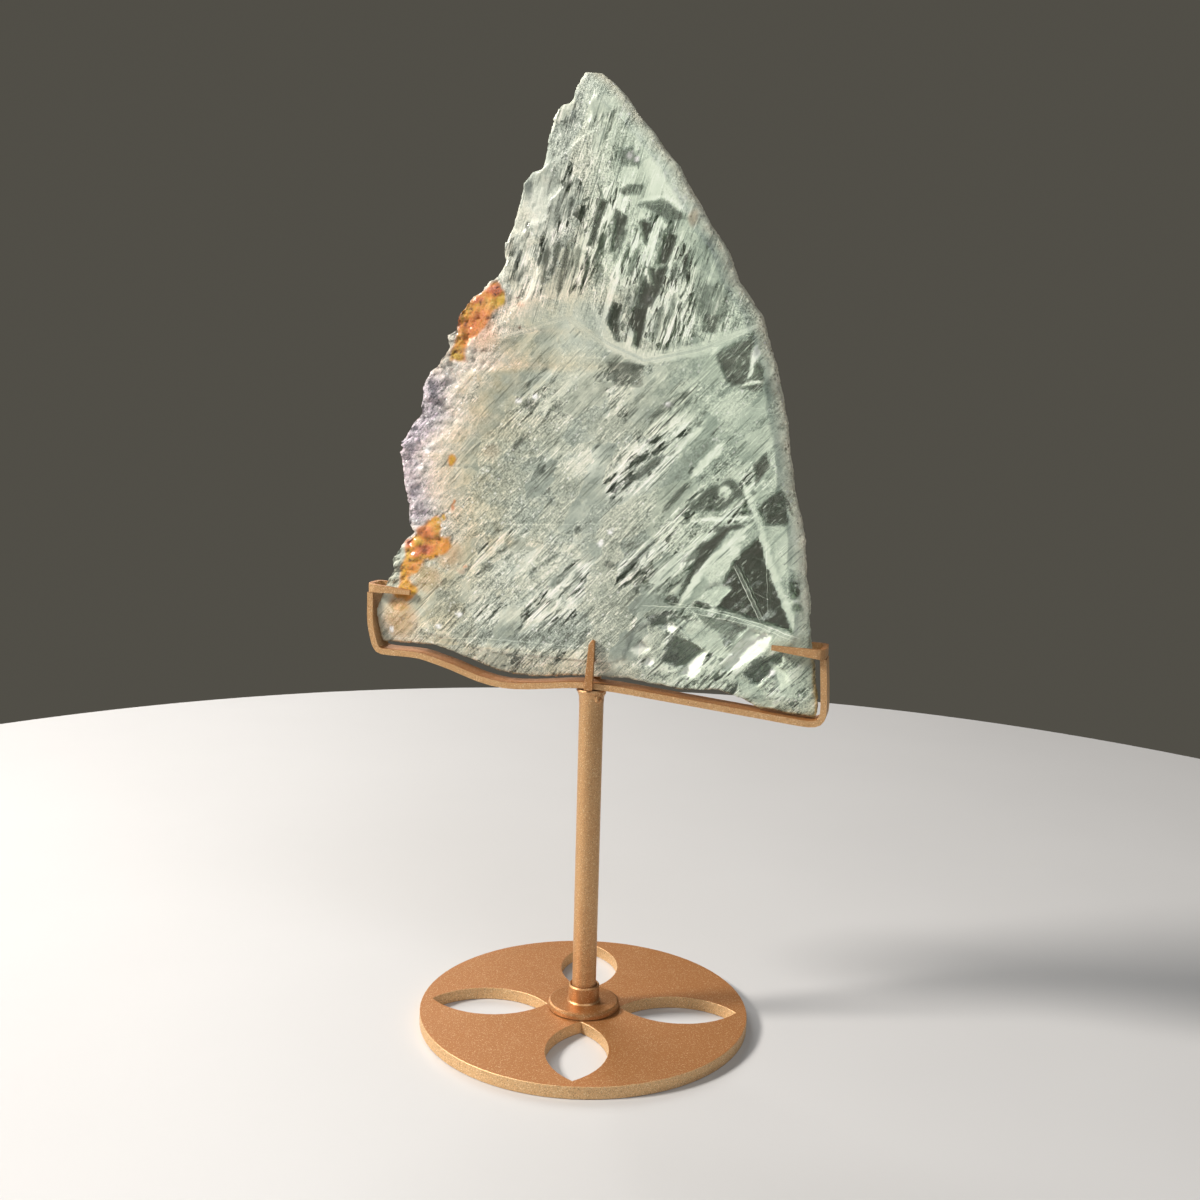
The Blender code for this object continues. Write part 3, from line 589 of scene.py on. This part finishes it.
STAIN_SPOTS = [
    ((-31.8, 237.5), (1.1, 2.0), 0.00, 1.0), ((-34.5, 240.2), (2.6, 1.2), 0.72, 0.8),
    ((-40.9, 234.7), (2.2, 1.8), 0.25, 1.0), ((-40.3, 237.2), (2.0, 0.9), 0.75, 0.9),
    ((-39.0, 232.0), (1.4, 1.2), 0.72, 1.0), ((-38.5, 229.8), (1.0, 2.6), 0.50, 0.8),
    ((-45.3, 223.4), (2.0, 2.2), 0.20, 1.0), ((-46.8, 219.4), (2.6, 1.5), 0.02, 1.0),
    ((-42.8, 230.2), (2.2, 1.6), 0.50, 0.15), ((-47.0, 231.0), (0.9, 2.4), 0.64, 0.8),
    ((-57.3, 156.2), (3.2, 1.5), 0.95, 1.0), ((-61.0, 154.6), (1.6, 1.2), 0.70, 0.9),
    ((-57.8, 162.2), (3.0, 1.8), 0.50, 0.9), ((-64.2, 158.0), (2.4, 1.6), 0.74, 0.7),
    ((-65.4, 148.4), (1.3, 3.0), 0.08, 1.0), ((-50.5, 159.0), (1.8, 1.4), 0.04, 0.9),
    ((-62.0, 142.6), (2.2, 2.0), 0.06, 0.9), ((-59.5, 150.6), (3.0, 1.0), 0.45, 0.5),
    ((-66.5, 137.0), (4.4, 3.0), 0.12, 0.62), ((-66.5, 132.0), (7.0, 7.0), 0.30, 0.50),
    ((-48.1, 186.1), (1.2, 1.8), 0.05, 0.9), ((-34.4, 189.5), (3.6, 3.0), 0.50, 0.22),
    ((-53.0, 167.0), (1.0, 0.6), 0.06, 1.0), ((-50.6, 167.6), (0.8, 1.2), 0.06, 1.0),
    ((-48.0, 170.6), (0.7, 1.4), 0.50, 0.7), ((-47.0, 172.6), (0.5, 1.2), 0.50, 0.7),
    ((-27.0, 214.0), (2.6, 10.0), 0.50, 0.16), ((-38.0, 219.0), (5.5, 5.0), 0.74, 0.20),
    ((-42.6, 151.6), (1.0, 0.8), 0.50, 0.6), ((-44.5, 150.0), (2.0, 1.0), 0.89, 0.35),
    ((-49.5, 155.5), (6.0, 5.5), 0.35, 0.36), ((-57.0, 147.0), (5.5, 5.0), 0.20, 0.42),
    ((-38.5, 226.5), (6.0, 6.5), 0.45, 0.40), ((-63.0, 122.0), (8.0, 4.0), 0.40, 0.30),
    ((29.0, 262.0), (1.6, 3.0), 0.45, 0.35), ((-25.5, 236.0), (1.2, 0.9), 0.45, 0.45),
]
IRON_SPECKS = [
    (-42.7, 234.2), (-45.8, 232.1), (-44.5, 230.2), (-39.4, 236.4), (-34.5, 238.9), (-33.5, 240.6),
    (-36.7, 231.4), (-45.6, 224.9), (-47.4, 220.6), (-45.6, 221.0), (-48.4, 218.8), (-56.0, 159.0),
    (-59.3, 157.5), (-64.2, 155.4), (-53.4, 154.1), (-65.5, 149.5), (-57.8, 155.7), (-62.5, 152.8),
    (-49.3, 227.9), (-48.7, 215.6), (-58.9, 153.0), (-26.2, 238.0), (-25.9, 228.8),
]

wobble_u = u + WOBBLE * (cloud(u / WOBBLE_WAVE, z / WOBBLE_WAVE, 3) - 0.5)
wobble_z = z + WOBBLE * (cloud(u / WOBBLE_WAVE, z / WOBBLE_WAVE, 4) - 0.5)
place = (wobble_u, wobble_z)
straight = (u, z)

# How clear, light and streaky the stone is before the shapes above are laid on it, one by one.
upper = ramp(z, np.interp(u, *zip(*CHANGE_LINE)) - 1.0, np.interp(u, *zip(*CHANGE_LINE)) + 1.0)
clear = 0.04 + 0.14 * cloud(u / 9.0, z / 9.0, 41) + 0.10 * cloud(u / 4.0, z / 4.0, 42)
light = 0.20 + 0.14 * cloud(u / 12.0, z / 12.0, 43) + 0.12 * cloud(u / 3.0, z / 3.0, 44)
# The stone is painted lighter along its left edge: painted sunlight on the rim that faced the sun.
light += 0.14 * (1.0 - ramp(from_left, 8.0, 32.0))
streak = 0.14 + 0.38 * cloud(u / 10.0, z / 10.0, 45)
smooth = np.zeros(count)
window = np.zeros(count)
opening = np.full(count, 0.6)


def lay(mask, goal, onto):
    """Values moved towards a goal where the mask is on."""
    return onto + (goal - onto) * mask


for corners, soft, see, value, drawn in SHARD_FIELDS:
    mask = patch(*place, corners, soft)
    clear, light, streak = lay(mask, see, clear), lay(mask, value, light), lay(mask, drawn, streak)
for corners, soft, value in MILKY_PATCHES:
    mask = 0.8 * patch(*place, corners, soft + 4.0)
    clear, light, streak = lay(mask, 0.12, clear), lay(mask, value, light), lay(mask, 0.15, streak)
    smooth = lay(mask, 1.0, smooth)
clear_shapes = [(blade(*straight, points, widths, WINDOW_EDGE), value)
                for points, widths, value in CLEAR_BLADES]
clear_shapes += [(patch(*straight, corners, soft), value) for corners, soft, value in CLEAR_PATCHES]
clear_shapes += [(spot(*place, middle, size, 0.6), value) for middle, size, value in CLEAR_SPOTS]
for mask, value in clear_shapes:
    window = np.maximum(window, mask)
    opening = lay(ramp(mask, 0.02, 0.25), value, opening)
light, streak = lay(ramp(window, 0.2, 0.6), 0.3, light), lay(ramp(window, 0.2, 0.6), 0.45, streak)
for points, widths, value in MILKY_BLADES:
    mask = blade(*place, points, widths, 0.6)
    clear, light, streak = lay(mask, 0.05, clear), lay(mask, value, light), lay(mask, 0.25, streak)
    smooth = lay(mask, 0.8, smooth)
    window = np.minimum(window, 1.0 - blade(*place, points, widths, 1.6))
for corners, soft, value in MILKY_PATCHES[:3]:
    mask = patch(*place, corners, soft)
    clear, light, streak = lay(mask, 0.1, clear), lay(mask, value, light), lay(mask, 0.35, streak)
    window = np.minimum(window, 1.0 - patch(*place, corners, WINDOW_EDGE))
for middle, size, value in MILKY_SPOTS:
    mask = spot(*place, middle, size, 0.5)
    clear, light = lay(mask, 0.05, clear), lay(mask, value, light)
    window = np.minimum(window, 1.0 - mask)
# Mask of the white spots painted as glints.
sparkle = np.zeros(count)
for middle in PAINTED_GLINT_SPOTS:
    sparkle = np.maximum(sparkle, spot(*place, middle, PAINTED_GLINT_SIZE, 0.4))

# Relief. The front is snapped to its polished plane, and what is broken is cut back from it.
front = ramp(-nw, 0.45, 0.75)
back = ramp(nw, 0.45, 0.75)
rim = 1.0 - front - back
plane = -(FRONT_PLANE + FRONT_FLARE * u)
polished = front * (np.abs(w - plane) < PLANE_REACH)
w = np.where(polished > 0.5, plane, w)

crusted = ramp(z, 136.0, 148.0) * (1.0 - 0.75 * ramp(z, 232.0, 246.0)) * (1.0 - ramp(z, 270.0, 290.0))
near_crust = np.clip(1.0 - from_left / CRUST_REACH, 0.0, 1.0) * crusted
near_rind = np.clip(1.0 - from_right / RIND_REACH, 0.0, 1.0) * ramp(z, 128.0, 150.0)
crust_relief = near_crust * (
    CRUST_DEPTHS[0] * cell_levels(u / 2.9 + 0.3 * z / 2.9, z / 2.6, 51, 1.0)
    + CRUST_DEPTHS[1] * cell_levels(u / 1.3, z / 1.1, 52, 1.0))
rind_relief = near_rind * (
    RIND_DEPTHS[0] * cloud(u / 1.0, z / 1.0, 53) + RIND_DEPTHS[1] * cloud(u / 2.6, z / 2.6, 54))
along = u * math.cos(LOWER_BLADES) + z * math.sin(LOWER_BLADES)
across = z * math.cos(LOWER_BLADES) - u * math.sin(LOWER_BLADES)
near_furrows = (1.0 - ramp(u, -30.0, 5.0)) * (1.0 - ramp(z, 150.0, 168.0))
furrows = near_furrows * FURROW_DEPTH * cell_levels(along / 6.0, across / 1.1, 55, 1.2)

facet_relief = np.zeros(count)
for corners, slope_u, slope_z, depth, see, bright in FACETS:
    mask = patch(*straight, corners, 0.5)
    middle_u = sum(point[0] for point in corners) / len(corners)
    middle_z = sum(point[1] for point in corners) / len(corners)
    level = np.clip(depth + slope_u * (u - middle_u) + slope_z * (z - middle_z), 0.0, DEEPEST_FACET)
    facet_relief = lay(mask, level, facet_relief)
    # A facet's lightness is laid on here; the whitest are painted sun glints.
    on_front = mask * (nw < 0.2)
    clear, light = lay(on_front, see, clear), lay(on_front, bright, light)
    streak, smooth = lay(on_front, 0.3, streak), lay(on_front, 0.8, smooth)
    on_front = patch(*straight, corners, 1.6) * (nw < 0.2)
    window = lay(on_front, float(see > 0.35), window)
    opening = lay(ramp(on_front, 0.02, 0.25), min(1.0, see + 0.15), opening)

upper_along = u * math.cos(UPPER_BLADES) + z * math.sin(UPPER_BLADES)
upper_across = z * math.cos(UPPER_BLADES) - u * math.sin(UPPER_BLADES)
steps = []
for one_along, one_across in ((along, across), (upper_along, upper_across)):
    steps.append(CLEAVED_DEPTHS[0] * cell_levels(one_along / 9.0, one_across / 2.4, 61, 1.0)
                 + CLEAVED_DEPTHS[1] * cell_levels(one_along / 3.5, one_across / 1.1, 62, 1.0))
back_relief = steps[0] * (1.0 - upper) + steps[1] * upper

w += front * (crust_relief + rind_relief + furrows + facet_relief)
w -= back * (back_relief + 0.6 * crust_relief + 0.4 * rind_relief)
rim_relief = RIM_DEPTH * cell_levels((u + z) / RIM_GRAIN, (w + 0.4 * z) / RIM_GRAIN, 57, 0.8)
u -= rim * nu * rim_relief
w -= rim * nw * rim_relief
z -= rim * nz * rim_relief

mesh.vertices.foreach_set("co", (np.column_stack([u, w, z]) * MM).astype(np.float32).ravel())

# Colour. The left edge is lilac, then pink and cream further in, and the right is greenest.
lilac = (1.0 - ramp(from_left, 3.0, 15.0)) * ramp(z, 155.0, 170.0) * (1.0 - ramp(z, 208.0, 220.0))
pink = (1.0 - ramp(from_left, 10.0, 28.0)) * ramp(z, 150.0, 172.0) * (1.0 - ramp(z, 262.0, 285.0))
pink *= (1.0 - 0.8 * lilac) * (1.0 - 0.7 * ramp(z, 234.0, 244.0))
warm = (1.0 - ramp(from_left, 16.0, 46.0)) * (0.35 + 0.65 * ramp(from_left, 6.0, 20.0))
warm *= ramp(z, 108.0, 124.0) * (1.0 - ramp(z, 215.0, 262.0)) * (1.0 - ramp(u, -5.0, 25.0))
warm = np.maximum(warm, 0.6 * (1.0 - ramp(z, 124.0, 128.0)) * (1.0 - ramp(u, 0.0, 20.0)))
mint = np.maximum(ramp(u, 5.0, 40.0), ramp(z, 236.0, 250.0) * ramp(u, -12.0, 8.0))
# Warm, pink and lilac parts are painted lighter. The lilac share is partly painted light, which lifts
# the shade that the crust's relief casts.
light += 0.05 * warm + 0.12 * pink + 0.10 * lilac
light += 0.12 * (1.0 - ramp(from_right, 3.0, 13.0)) * ramp(z, 205.0, 225.0)
clear *= 1.0 - 0.8 * np.maximum(lilac, pink)
stain = np.zeros(count)
tone = np.full(count, 0.5)
for corners, soft, value, strength in STAINS:
    mask = patch(*place, corners, soft)
    stain = np.maximum(stain, mask * (strength + 0.3 * (cloud(u / 1.8, z / 1.8, 71) - 0.5)))
    tone = lay(mask, value + 0.25 * (cloud(u / 2.6, z / 2.6, 72) - 0.5), tone)
for middle, size, value, strength in STAIN_SPOTS:
    mask = spot(*place, middle, size, 0.6)
    stain = np.maximum(stain, mask * strength)
    tone = lay(mask, value, tone)
speck = np.zeros(count)
for middle in IRON_SPECKS:
    speck = np.maximum(speck, spot(*place, middle, SPECK_SIZE, 0.5))
clear *= 1.0 - 0.85 * stain
rind = near_rind ** 1.2

# What the material reads at each place: every layer goes from 0 to 1.
layers = {
    "clear": clear, "light": light, "streak": streak, "upper": upper, "stain": stain, "tone": tone,
    "lilac": lilac, "warm": warm, "rind": rind, "sparkle": sparkle, "speck": speck,
    "smooth": smooth, "mint": mint, "pink": pink, "window": window, "opening": opening,
    "polish": polished * (1.0 - near_crust),
}
for name, values in layers.items():
    layer = mesh.attributes.new(name, "FLOAT", "POINT")
    layer.data.foreach_set("value", np.clip(values, 0.0, 1.0).astype(np.float32))


def drawn_out(wire, upper, where, length, width):
    """A place, squeezed along the cleavage, which leans more in the upper part."""
    leaning = [wire.node("ShaderNodeMapping", {"vector_type": "TEXTURE"}, {
        "Vector": where, "Rotation": (0.0, -angle, 0.0), "Scale": (length, 3.0 * MM, width)})
        for angle in (LOWER_BLADES, UPPER_BLADES)]
    return wire.node("ShaderNodeMix", {"data_type": "VECTOR"}, {
        "Factor": upper, "A": leaning[0], "B": leaning[1]}, "Result")


def part(wire, where, axis):
    return wire.node("ShaderNodeSeparateXYZ", {}, {"Vector": where}, axis)


def needle_sprays(wire, bent_place):
    """White needles that spread from a few middles, thinner further out."""
    sprays = 0.0
    for (middle_u, middle_z), reach in NEEDLE_SPRAYS:
        across = part(wire, bent_place, "X") - (middle_u + 2.5) * MM
        above = part(wire, bent_place, "Z") - (middle_z + 2.5) * MM
        turn = above.maths("ARCTAN2", above, across)
        squared = across * across + above * above
        far = squared.maths("SQRT", squared)
        rays = wire.node("ShaderNodeTexNoise", {"noise_dimensions": "1D"}, {
            "W": turn * 6.0 + reach, "Scale": 1.0, "Detail": 3.0, "Roughness": 0.7})
        near = 1.0 - far.between(0.15 * reach * MM, reach * MM)
        sprays = rays.between(0.56, 0.66) * near + sprays
    return sprays


def fine_lines(wire, place):
    """Fractures and edges that show as thin pale lines, a little shaky."""
    shaken = wire.bent(place, 2.5 * MM, 0.8 * MM)
    where = part(wire, shaken, "X") - 0.4 * MM
    height = part(wire, shaken, "Z") - 0.4 * MM
    lines = 0.0
    for (start_u, start_z), (end_u, end_z), width, shine in FINE_LINES:
        length = math.hypot(end_u - start_u, end_z - start_z)
        to_u, to_z = (end_u - start_u) / length, (end_z - start_z) / length
        across = (where - start_u * MM) * to_z - (height - start_z * MM) * to_u
        along = (where - start_u * MM) * to_u + (height - start_z * MM) * to_z
        ending = along.between((length - 3.0) * MM, length * MM)
        inside = along.between(0.0, 3.0 * MM) * (1.0 - ending)
        off = across.maths("ABSOLUTE", across)
        lines = (1.0 - off.between(0.3 * width * MM, width * MM)) * inside * shine + lines
    return lines


def veil_colour(wire, share, lightness, domain, haze, frost):
    """The milky veils: grey to white, greener at the right and creamy to lilac at the left."""
    veil = wire.node("ShaderNodeValToRGB", {"stops": [
        (0.0, (0.17, 0.19, 0.16)), (0.30, (0.33, 0.38, 0.33)), (0.50, (0.53, 0.585, 0.505)),
        (0.72, (0.77, 0.81, 0.71)), (1.0, (0.98, 0.98, 0.93))]}, {"Fac": lightness})
    creamy = (domain * 0.6 + haze * 0.4).between(0.35, 0.70)
    veil = veil.tinted(share["mint"], (0.93, 1.0, 0.95))
    veil = veil.tinted(creamy * (0.55 - 0.45 * share["mint"]), (1.0, 0.95, 0.88))
    veil = veil.tinted(share["warm"] * (0.50 + 0.50 * haze), (1.0, 0.87, 0.74))
    veil = veil.tinted(share["pink"] * (0.60 + 0.40 * frost), (1.0, 0.86, 0.87))
    return veil.tinted(share["lilac"], (0.88, 0.78, 1.0))


def rust_colour(wire, share, crushed, haze):
    """Iron stains, from yellow through orange to brown."""
    return wire.node("ShaderNodeValToRGB", {"stops": [
        (0.0, (0.60, 0.38, 0.02)), (0.25, (0.66, 0.27, 0.012)), (0.50, (0.70, 0.20, 0.03)),
        (0.75, (0.55, 0.11, 0.025)), (1.0, (0.20, 0.06, 0.015))]},
        {"Fac": share["tone"] + crushed * 0.22 + (haze - 0.5) * 0.25})


def fluorite():
    """Clear fluorite crossed by milky veils and shards, which follow the cleavage."""
    material, wire = new_material("fluorite")
    share = {name: wire.node("ShaderNodeAttribute", {"attribute_name": name}, {}, "Fac")
             for name in layers}
    place = wire.node("ShaderNodeTexCoord", {}, {}, "Object")
    bent_place = wire.bent(place, 6.0 * MM, 5.0 * MM)

    def stretched(where, length, width):
        return drawn_out(wire, share["upper"], where, length * MM, width * MM)

    domains = [wire.grains(stretched(bent_place, 17.0, 8.0), 1.0, channel) for channel in "XYZ"]
    seams = 1.0 - wire.edges(stretched(bent_place, 17.0, 8.0), 1.0).between(0.0, 0.02)
    long_shards = wire.grains(stretched(place, 7.5, 1.5), 1.0)
    short_shards = wire.grains(stretched(place, 3.4, 0.75), 1.0)
    splinters = wire.grains(stretched(place, 1.9, 0.36), 1.0)
    needles = wire.grains(stretched(place, 8.0, 0.42), 1.0)
    planks = wire.grains(stretched(place, 15.0, 2.3), 1.0, "Y")
    gaps = wire.edges(stretched(place, 13.0, 2.0), 1.0)
    fibres = wire.noise(stretched(place, 3.6, 0.40), 1.0, 4.0, 0.65).between(0.32, 0.68)
    ice = wire.grains(place, 0.60 * MM)
    frost = wire.noise(place, 0.50 * MM, 4.0, 0.75).between(0.36, 0.64)
    haze = wire.noise(place, 5.0 * MM, 4.0, 0.6).between(0.3, 0.7)
    long_cracks = 1.0 - wire.edges(stretched(bent_place, 9.0, 2.6), 1.0).between(0.0, 0.035)
    cracks = 1.0 - wire.edges(place, 3.4 * MM).between(0.0, 0.025)
    cracked = (long_cracks + cracks * 0.7) * haze + 0.8 * seams
    sprays = needle_sprays(wire, bent_place)
    lines = fine_lines(wire, place)

    drawn = long_shards * 0.42 + short_shards * 0.34 + fibres * 0.24
    streaky = share["streak"] * (0.35 + 1.20 * domains[1].between(0.25, 0.75))
    streaky = streaky * (1.0 - 0.6 * share["pink"])
    swing = (drawn - 0.5) * streaky
    rubble = (0.22 + 1.00 * domains[2].between(0.30, 0.70)) * (1.0 - share["smooth"] * 0.75)
    rubble = rubble + 0.8 * share["pink"] + 0.7 * share["lilac"]
    plank = planks.between(0.85, 0.87) * (0.3 + share["streak"])
    crushed = ice * 0.18 + splinters * 0.36 + frost * 0.46 - 0.5
    crushed = crushed * rubble * (1.0 - 0.5 * plank)

    cover = ((1.0 - share["clear"]) + swing * 2.2 + crushed * 0.45 + (haze - 0.5) * 0.2
             + (domains[0] - 0.5) * 0.14 + cracked * 0.3 + plank * 0.4)
    ragged = ((long_shards - 0.5) * 0.40 + (short_shards - 0.5) * 0.62
              + (splinters - 0.5) * 0.60)
    torn = share["window"] + ragged * (0.22 + 0.78 * share["streak"])
    open_here = torn.between(0.47, 0.53)
    flecks = splinters.between(0.86, 0.92) * haze * 0.5
    flecks = flecks + (1.0 - share["window"].between(0.5, 1.0)) * 0.3
    in_window = (1.0 - share["opening"]) * (0.7 + 0.6 * haze) + flecks + crushed * 0.20
    cover = cover.between(-0.02, 0.82) * (1.0 - open_here)
    cover = in_window * open_here + cover
    cover = cover + sprays * 0.55 + lines * 1.4

    # Painted highlights: bright streaks on some needles and flecks, added to the lightness as glassy
    # glints.
    painted_highlights = needles.between(0.90, 0.94) * streaky * 0.44
    painted_highlights = painted_highlights + splinters.between(0.93, 0.96) * rubble * 0.14
    slit = (1.0 - needles.between(0.05, 0.07)) * (0.14 + 0.40 * streaky)
    gap = (1.0 - gaps.between(0.03, 0.09)) * haze.between(0.55, 0.8) * (0.05 + 0.35 * streaky)
    lightness = (share["light"] + swing * (0.45 + 0.45 * share["streak"]) + crushed * 0.66
                 + (haze - 0.5) * 0.12 + (domains[0] - 0.5) * 0.16 + cracked * 0.10 + painted_highlights
                 - slit - gap + plank * 0.14 + sprays * 0.25 + lines)

    veil = veil_colour(wire, share, lightness, domains[0], haze, frost)
    rind_colour = frost.mix((0.50, 0.43, 0.30), (0.90, 0.86, 0.72))
    rind_colour = ice.between(0.92, 0.95).mix(rind_colour, (0.16, 0.12, 0.07))
    veil = (share["rind"] * (0.6 + 0.4 * haze)).mix(veil, rind_colour)
    stained = share["stain"].between(0.05, 0.95) * (0.82 + 0.18 * frost)
    veil = stained.mix(veil, rust_colour(wire, share, crushed, haze))
    pepper = (1.0 - ice.between(0.05, 0.09)) * share["stain"].between(0.5, 0.9) * 0.35
    veil = (share["speck"] * ice.between(0.2, 0.5) + pepper).mix(veil, (0.08, 0.025, 0.012))
    # Painted glints: scattered grains and the listed spots are painted white where light would glint,
    # most on the lilac crust.
    painted_glints = ice.between(0.978, 0.985) * (0.35 + 1.6 * share["lilac"])
    painted_glints = painted_glints * rubble * (1.0 - share["stain"])
    veil = (share["sparkle"] + painted_glints).mix(veil, (1.0, 1.0, 1.0))

    rough = 1.0 - share["polish"]
    crumple = wire.noise(wire.bent(place, 1.6 * MM, 1.2 * MM), 0.85 * MM, 4.0, 0.62)
    bump = wire.node("ShaderNodeBump", {}, {
        "Height": drawn * share["streak"] + 0.6 * crushed + crumple * (0.4 + 2.2 * rubble),
        "Strength": 0.26 + 0.26 * rough, "Distance": 0.30 * MM})
    milky = wire.node("ShaderNodeBsdfPrincipled", {}, {
        "Base Color": veil, "Roughness": 0.55 - 0.20 * share["polish"], "Normal": bump,
        "Specular IOR Level": 0.45, "Coat Weight": share["polish"] * 0.8 + share["stain"] * 0.5,
        "Coat Roughness": 0.03, "Coat IOR": 1.434})
    soft_bump = wire.node("ShaderNodeBump", {}, {
        "Height": drawn + crushed, "Strength": 0.20, "Distance": 0.15 * MM})
    depth = (domains[1] * 0.4 + drawn * 0.6).between(0.3, 0.7)
    see_through = wire.node("ShaderNodeBsdfPrincipled", {}, {
        "Base Color": depth.mix((0.60, 0.71, 0.62), (0.95, 1.0, 0.96)), "Roughness": 0.12,
        "IOR": 1.434, "Transmission Weight": 1.0, "Normal": soft_bump})
    both = wire.node("ShaderNodeMixShader", {}, {0: cover, 1: see_through, 2: milky})
    wire.node("ShaderNodeOutputMaterial", {}, {"Surface": both})
    return material


mesh.materials.clear()
mesh.materials.append(fluorite())
mesh.shade_smooth()
stone.rotation_euler.z = SLAB_TURN
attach(stone, "root")
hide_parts("slab")


# The stage: a round pale table top in front of a plain dark grey, with one soft sun from the
# left, weak light from above the viewer and a soft lamp behind. The camera stands where the
# photograph's did.
TABLE_RADIUS = 0.52
TABLE_THICKNESS = 0.012
TABLE_GAP = 0.1 * MM
CAMERA_DISTANCE = 0.4339
CAMERA_HEIGHT = 0.2083
CAMERA_DOWN = math.radians(8.581)
CAMERA_PAN = math.radians(0.2523)
CAMERA_ROLL = math.radians(1.542)
CAMERA_LENS = 40.73
TABLE_CLOUD = 0.12


def pale_table():
    """A matt pale grey with faint clouds."""
    material, wire = new_material("pale_table")
    place = wire.node("ShaderNodeTexCoord", {}, {}, "Object")
    haze = wire.noise(place, TABLE_CLOUD, 3.0)
    shader = wire.node("ShaderNodeBsdfPrincipled", {}, {
        "Base Color": haze.mix((0.55, 0.545, 0.55), (0.59, 0.585, 0.59)), "Roughness": 0.55})
    wire.node("ShaderNodeOutputMaterial", {}, {"Surface": shader})
    return material


table_mesh = bpy.data.meshes.new("table_top")
bm = bmesh.new()
bmesh.ops.create_cone(bm, cap_ends=True, segments=160, radius1=TABLE_RADIUS, radius2=TABLE_RADIUS,
                      depth=TABLE_THICKNESS,
                      matrix=Matrix.Translation((0.0, 0.0, -TABLE_THICKNESS / 2.0 - TABLE_GAP)))
bm.to_mesh(table_mesh)
bm.free()
table = new_piece("table_top", table_mesh)
table.data.materials.append(pale_table())

world = bpy.data.worlds.new("grey_room")
bpy.context.scene.world = world
world.use_nodes = True
world.node_tree.nodes["Background"].inputs["Color"].default_value = (0.082, 0.077, 0.063, 1.0)


def soft_lamp(name, place, target, size, watts, colour):
    """A round area lamp that faces its target."""
    lamp = bpy.data.lights.new(name, "AREA")
    lamp.shape = "DISK"
    lamp.size = size
    lamp.energy = watts
    lamp.color = colour
    thing = bpy.data.objects.new(name, lamp)
    bpy.context.scene.collection.objects.link(thing)
    thing.location = place
    thing.rotation_euler = (Vector(target) - Vector(place)).to_track_quat("-Z", "Y").to_euler()


soft_lamp("sun_box", (-1.10, -0.20, 0.86), (0.0, 0.0, 0.16), 0.30, 27.0, (1.0, 0.95, 0.88))
soft_lamp("sky_box", (0.55, -1.05, 1.25), (0.0, 0.0, 0.15), 1.2, 9.0, (0.92, 0.96, 1.0))
soft_lamp("back_box", (-0.55, 1.05, 0.95), (0.0, 0.0, 0.18), 0.9, 11.0, (1.0, 0.98, 0.95))

camera_data = bpy.data.cameras.new("camera")
camera_data.lens = CAMERA_LENS
camera_data.clip_start = 0.01
camera = bpy.data.objects.new("camera", camera_data)
bpy.context.scene.collection.objects.link(camera)
forward = Vector((math.sin(CAMERA_PAN) * math.cos(CAMERA_DOWN),
                  math.cos(CAMERA_PAN) * math.cos(CAMERA_DOWN), -math.sin(CAMERA_DOWN)))
right = Vector((math.cos(CAMERA_PAN), -math.sin(CAMERA_PAN), 0.0))
up = right.cross(forward)
rolled_right = right * math.cos(CAMERA_ROLL) + up * math.sin(CAMERA_ROLL)
rolled_up = up * math.cos(CAMERA_ROLL) - right * math.sin(CAMERA_ROLL)
camera.matrix_world = Matrix((
    (rolled_right.x, rolled_up.x, -forward.x, 0.0),
    (rolled_right.y, rolled_up.y, -forward.y, -CAMERA_DISTANCE),
    (rolled_right.z, rolled_up.z, -forward.z, CAMERA_HEIGHT),
    (0.0, 0.0, 0.0, 1.0)))
bpy.context.scene.camera = camera
bpy.context.scene.view_settings.view_transform = "Standard"


bpy.context.view_layer.update()
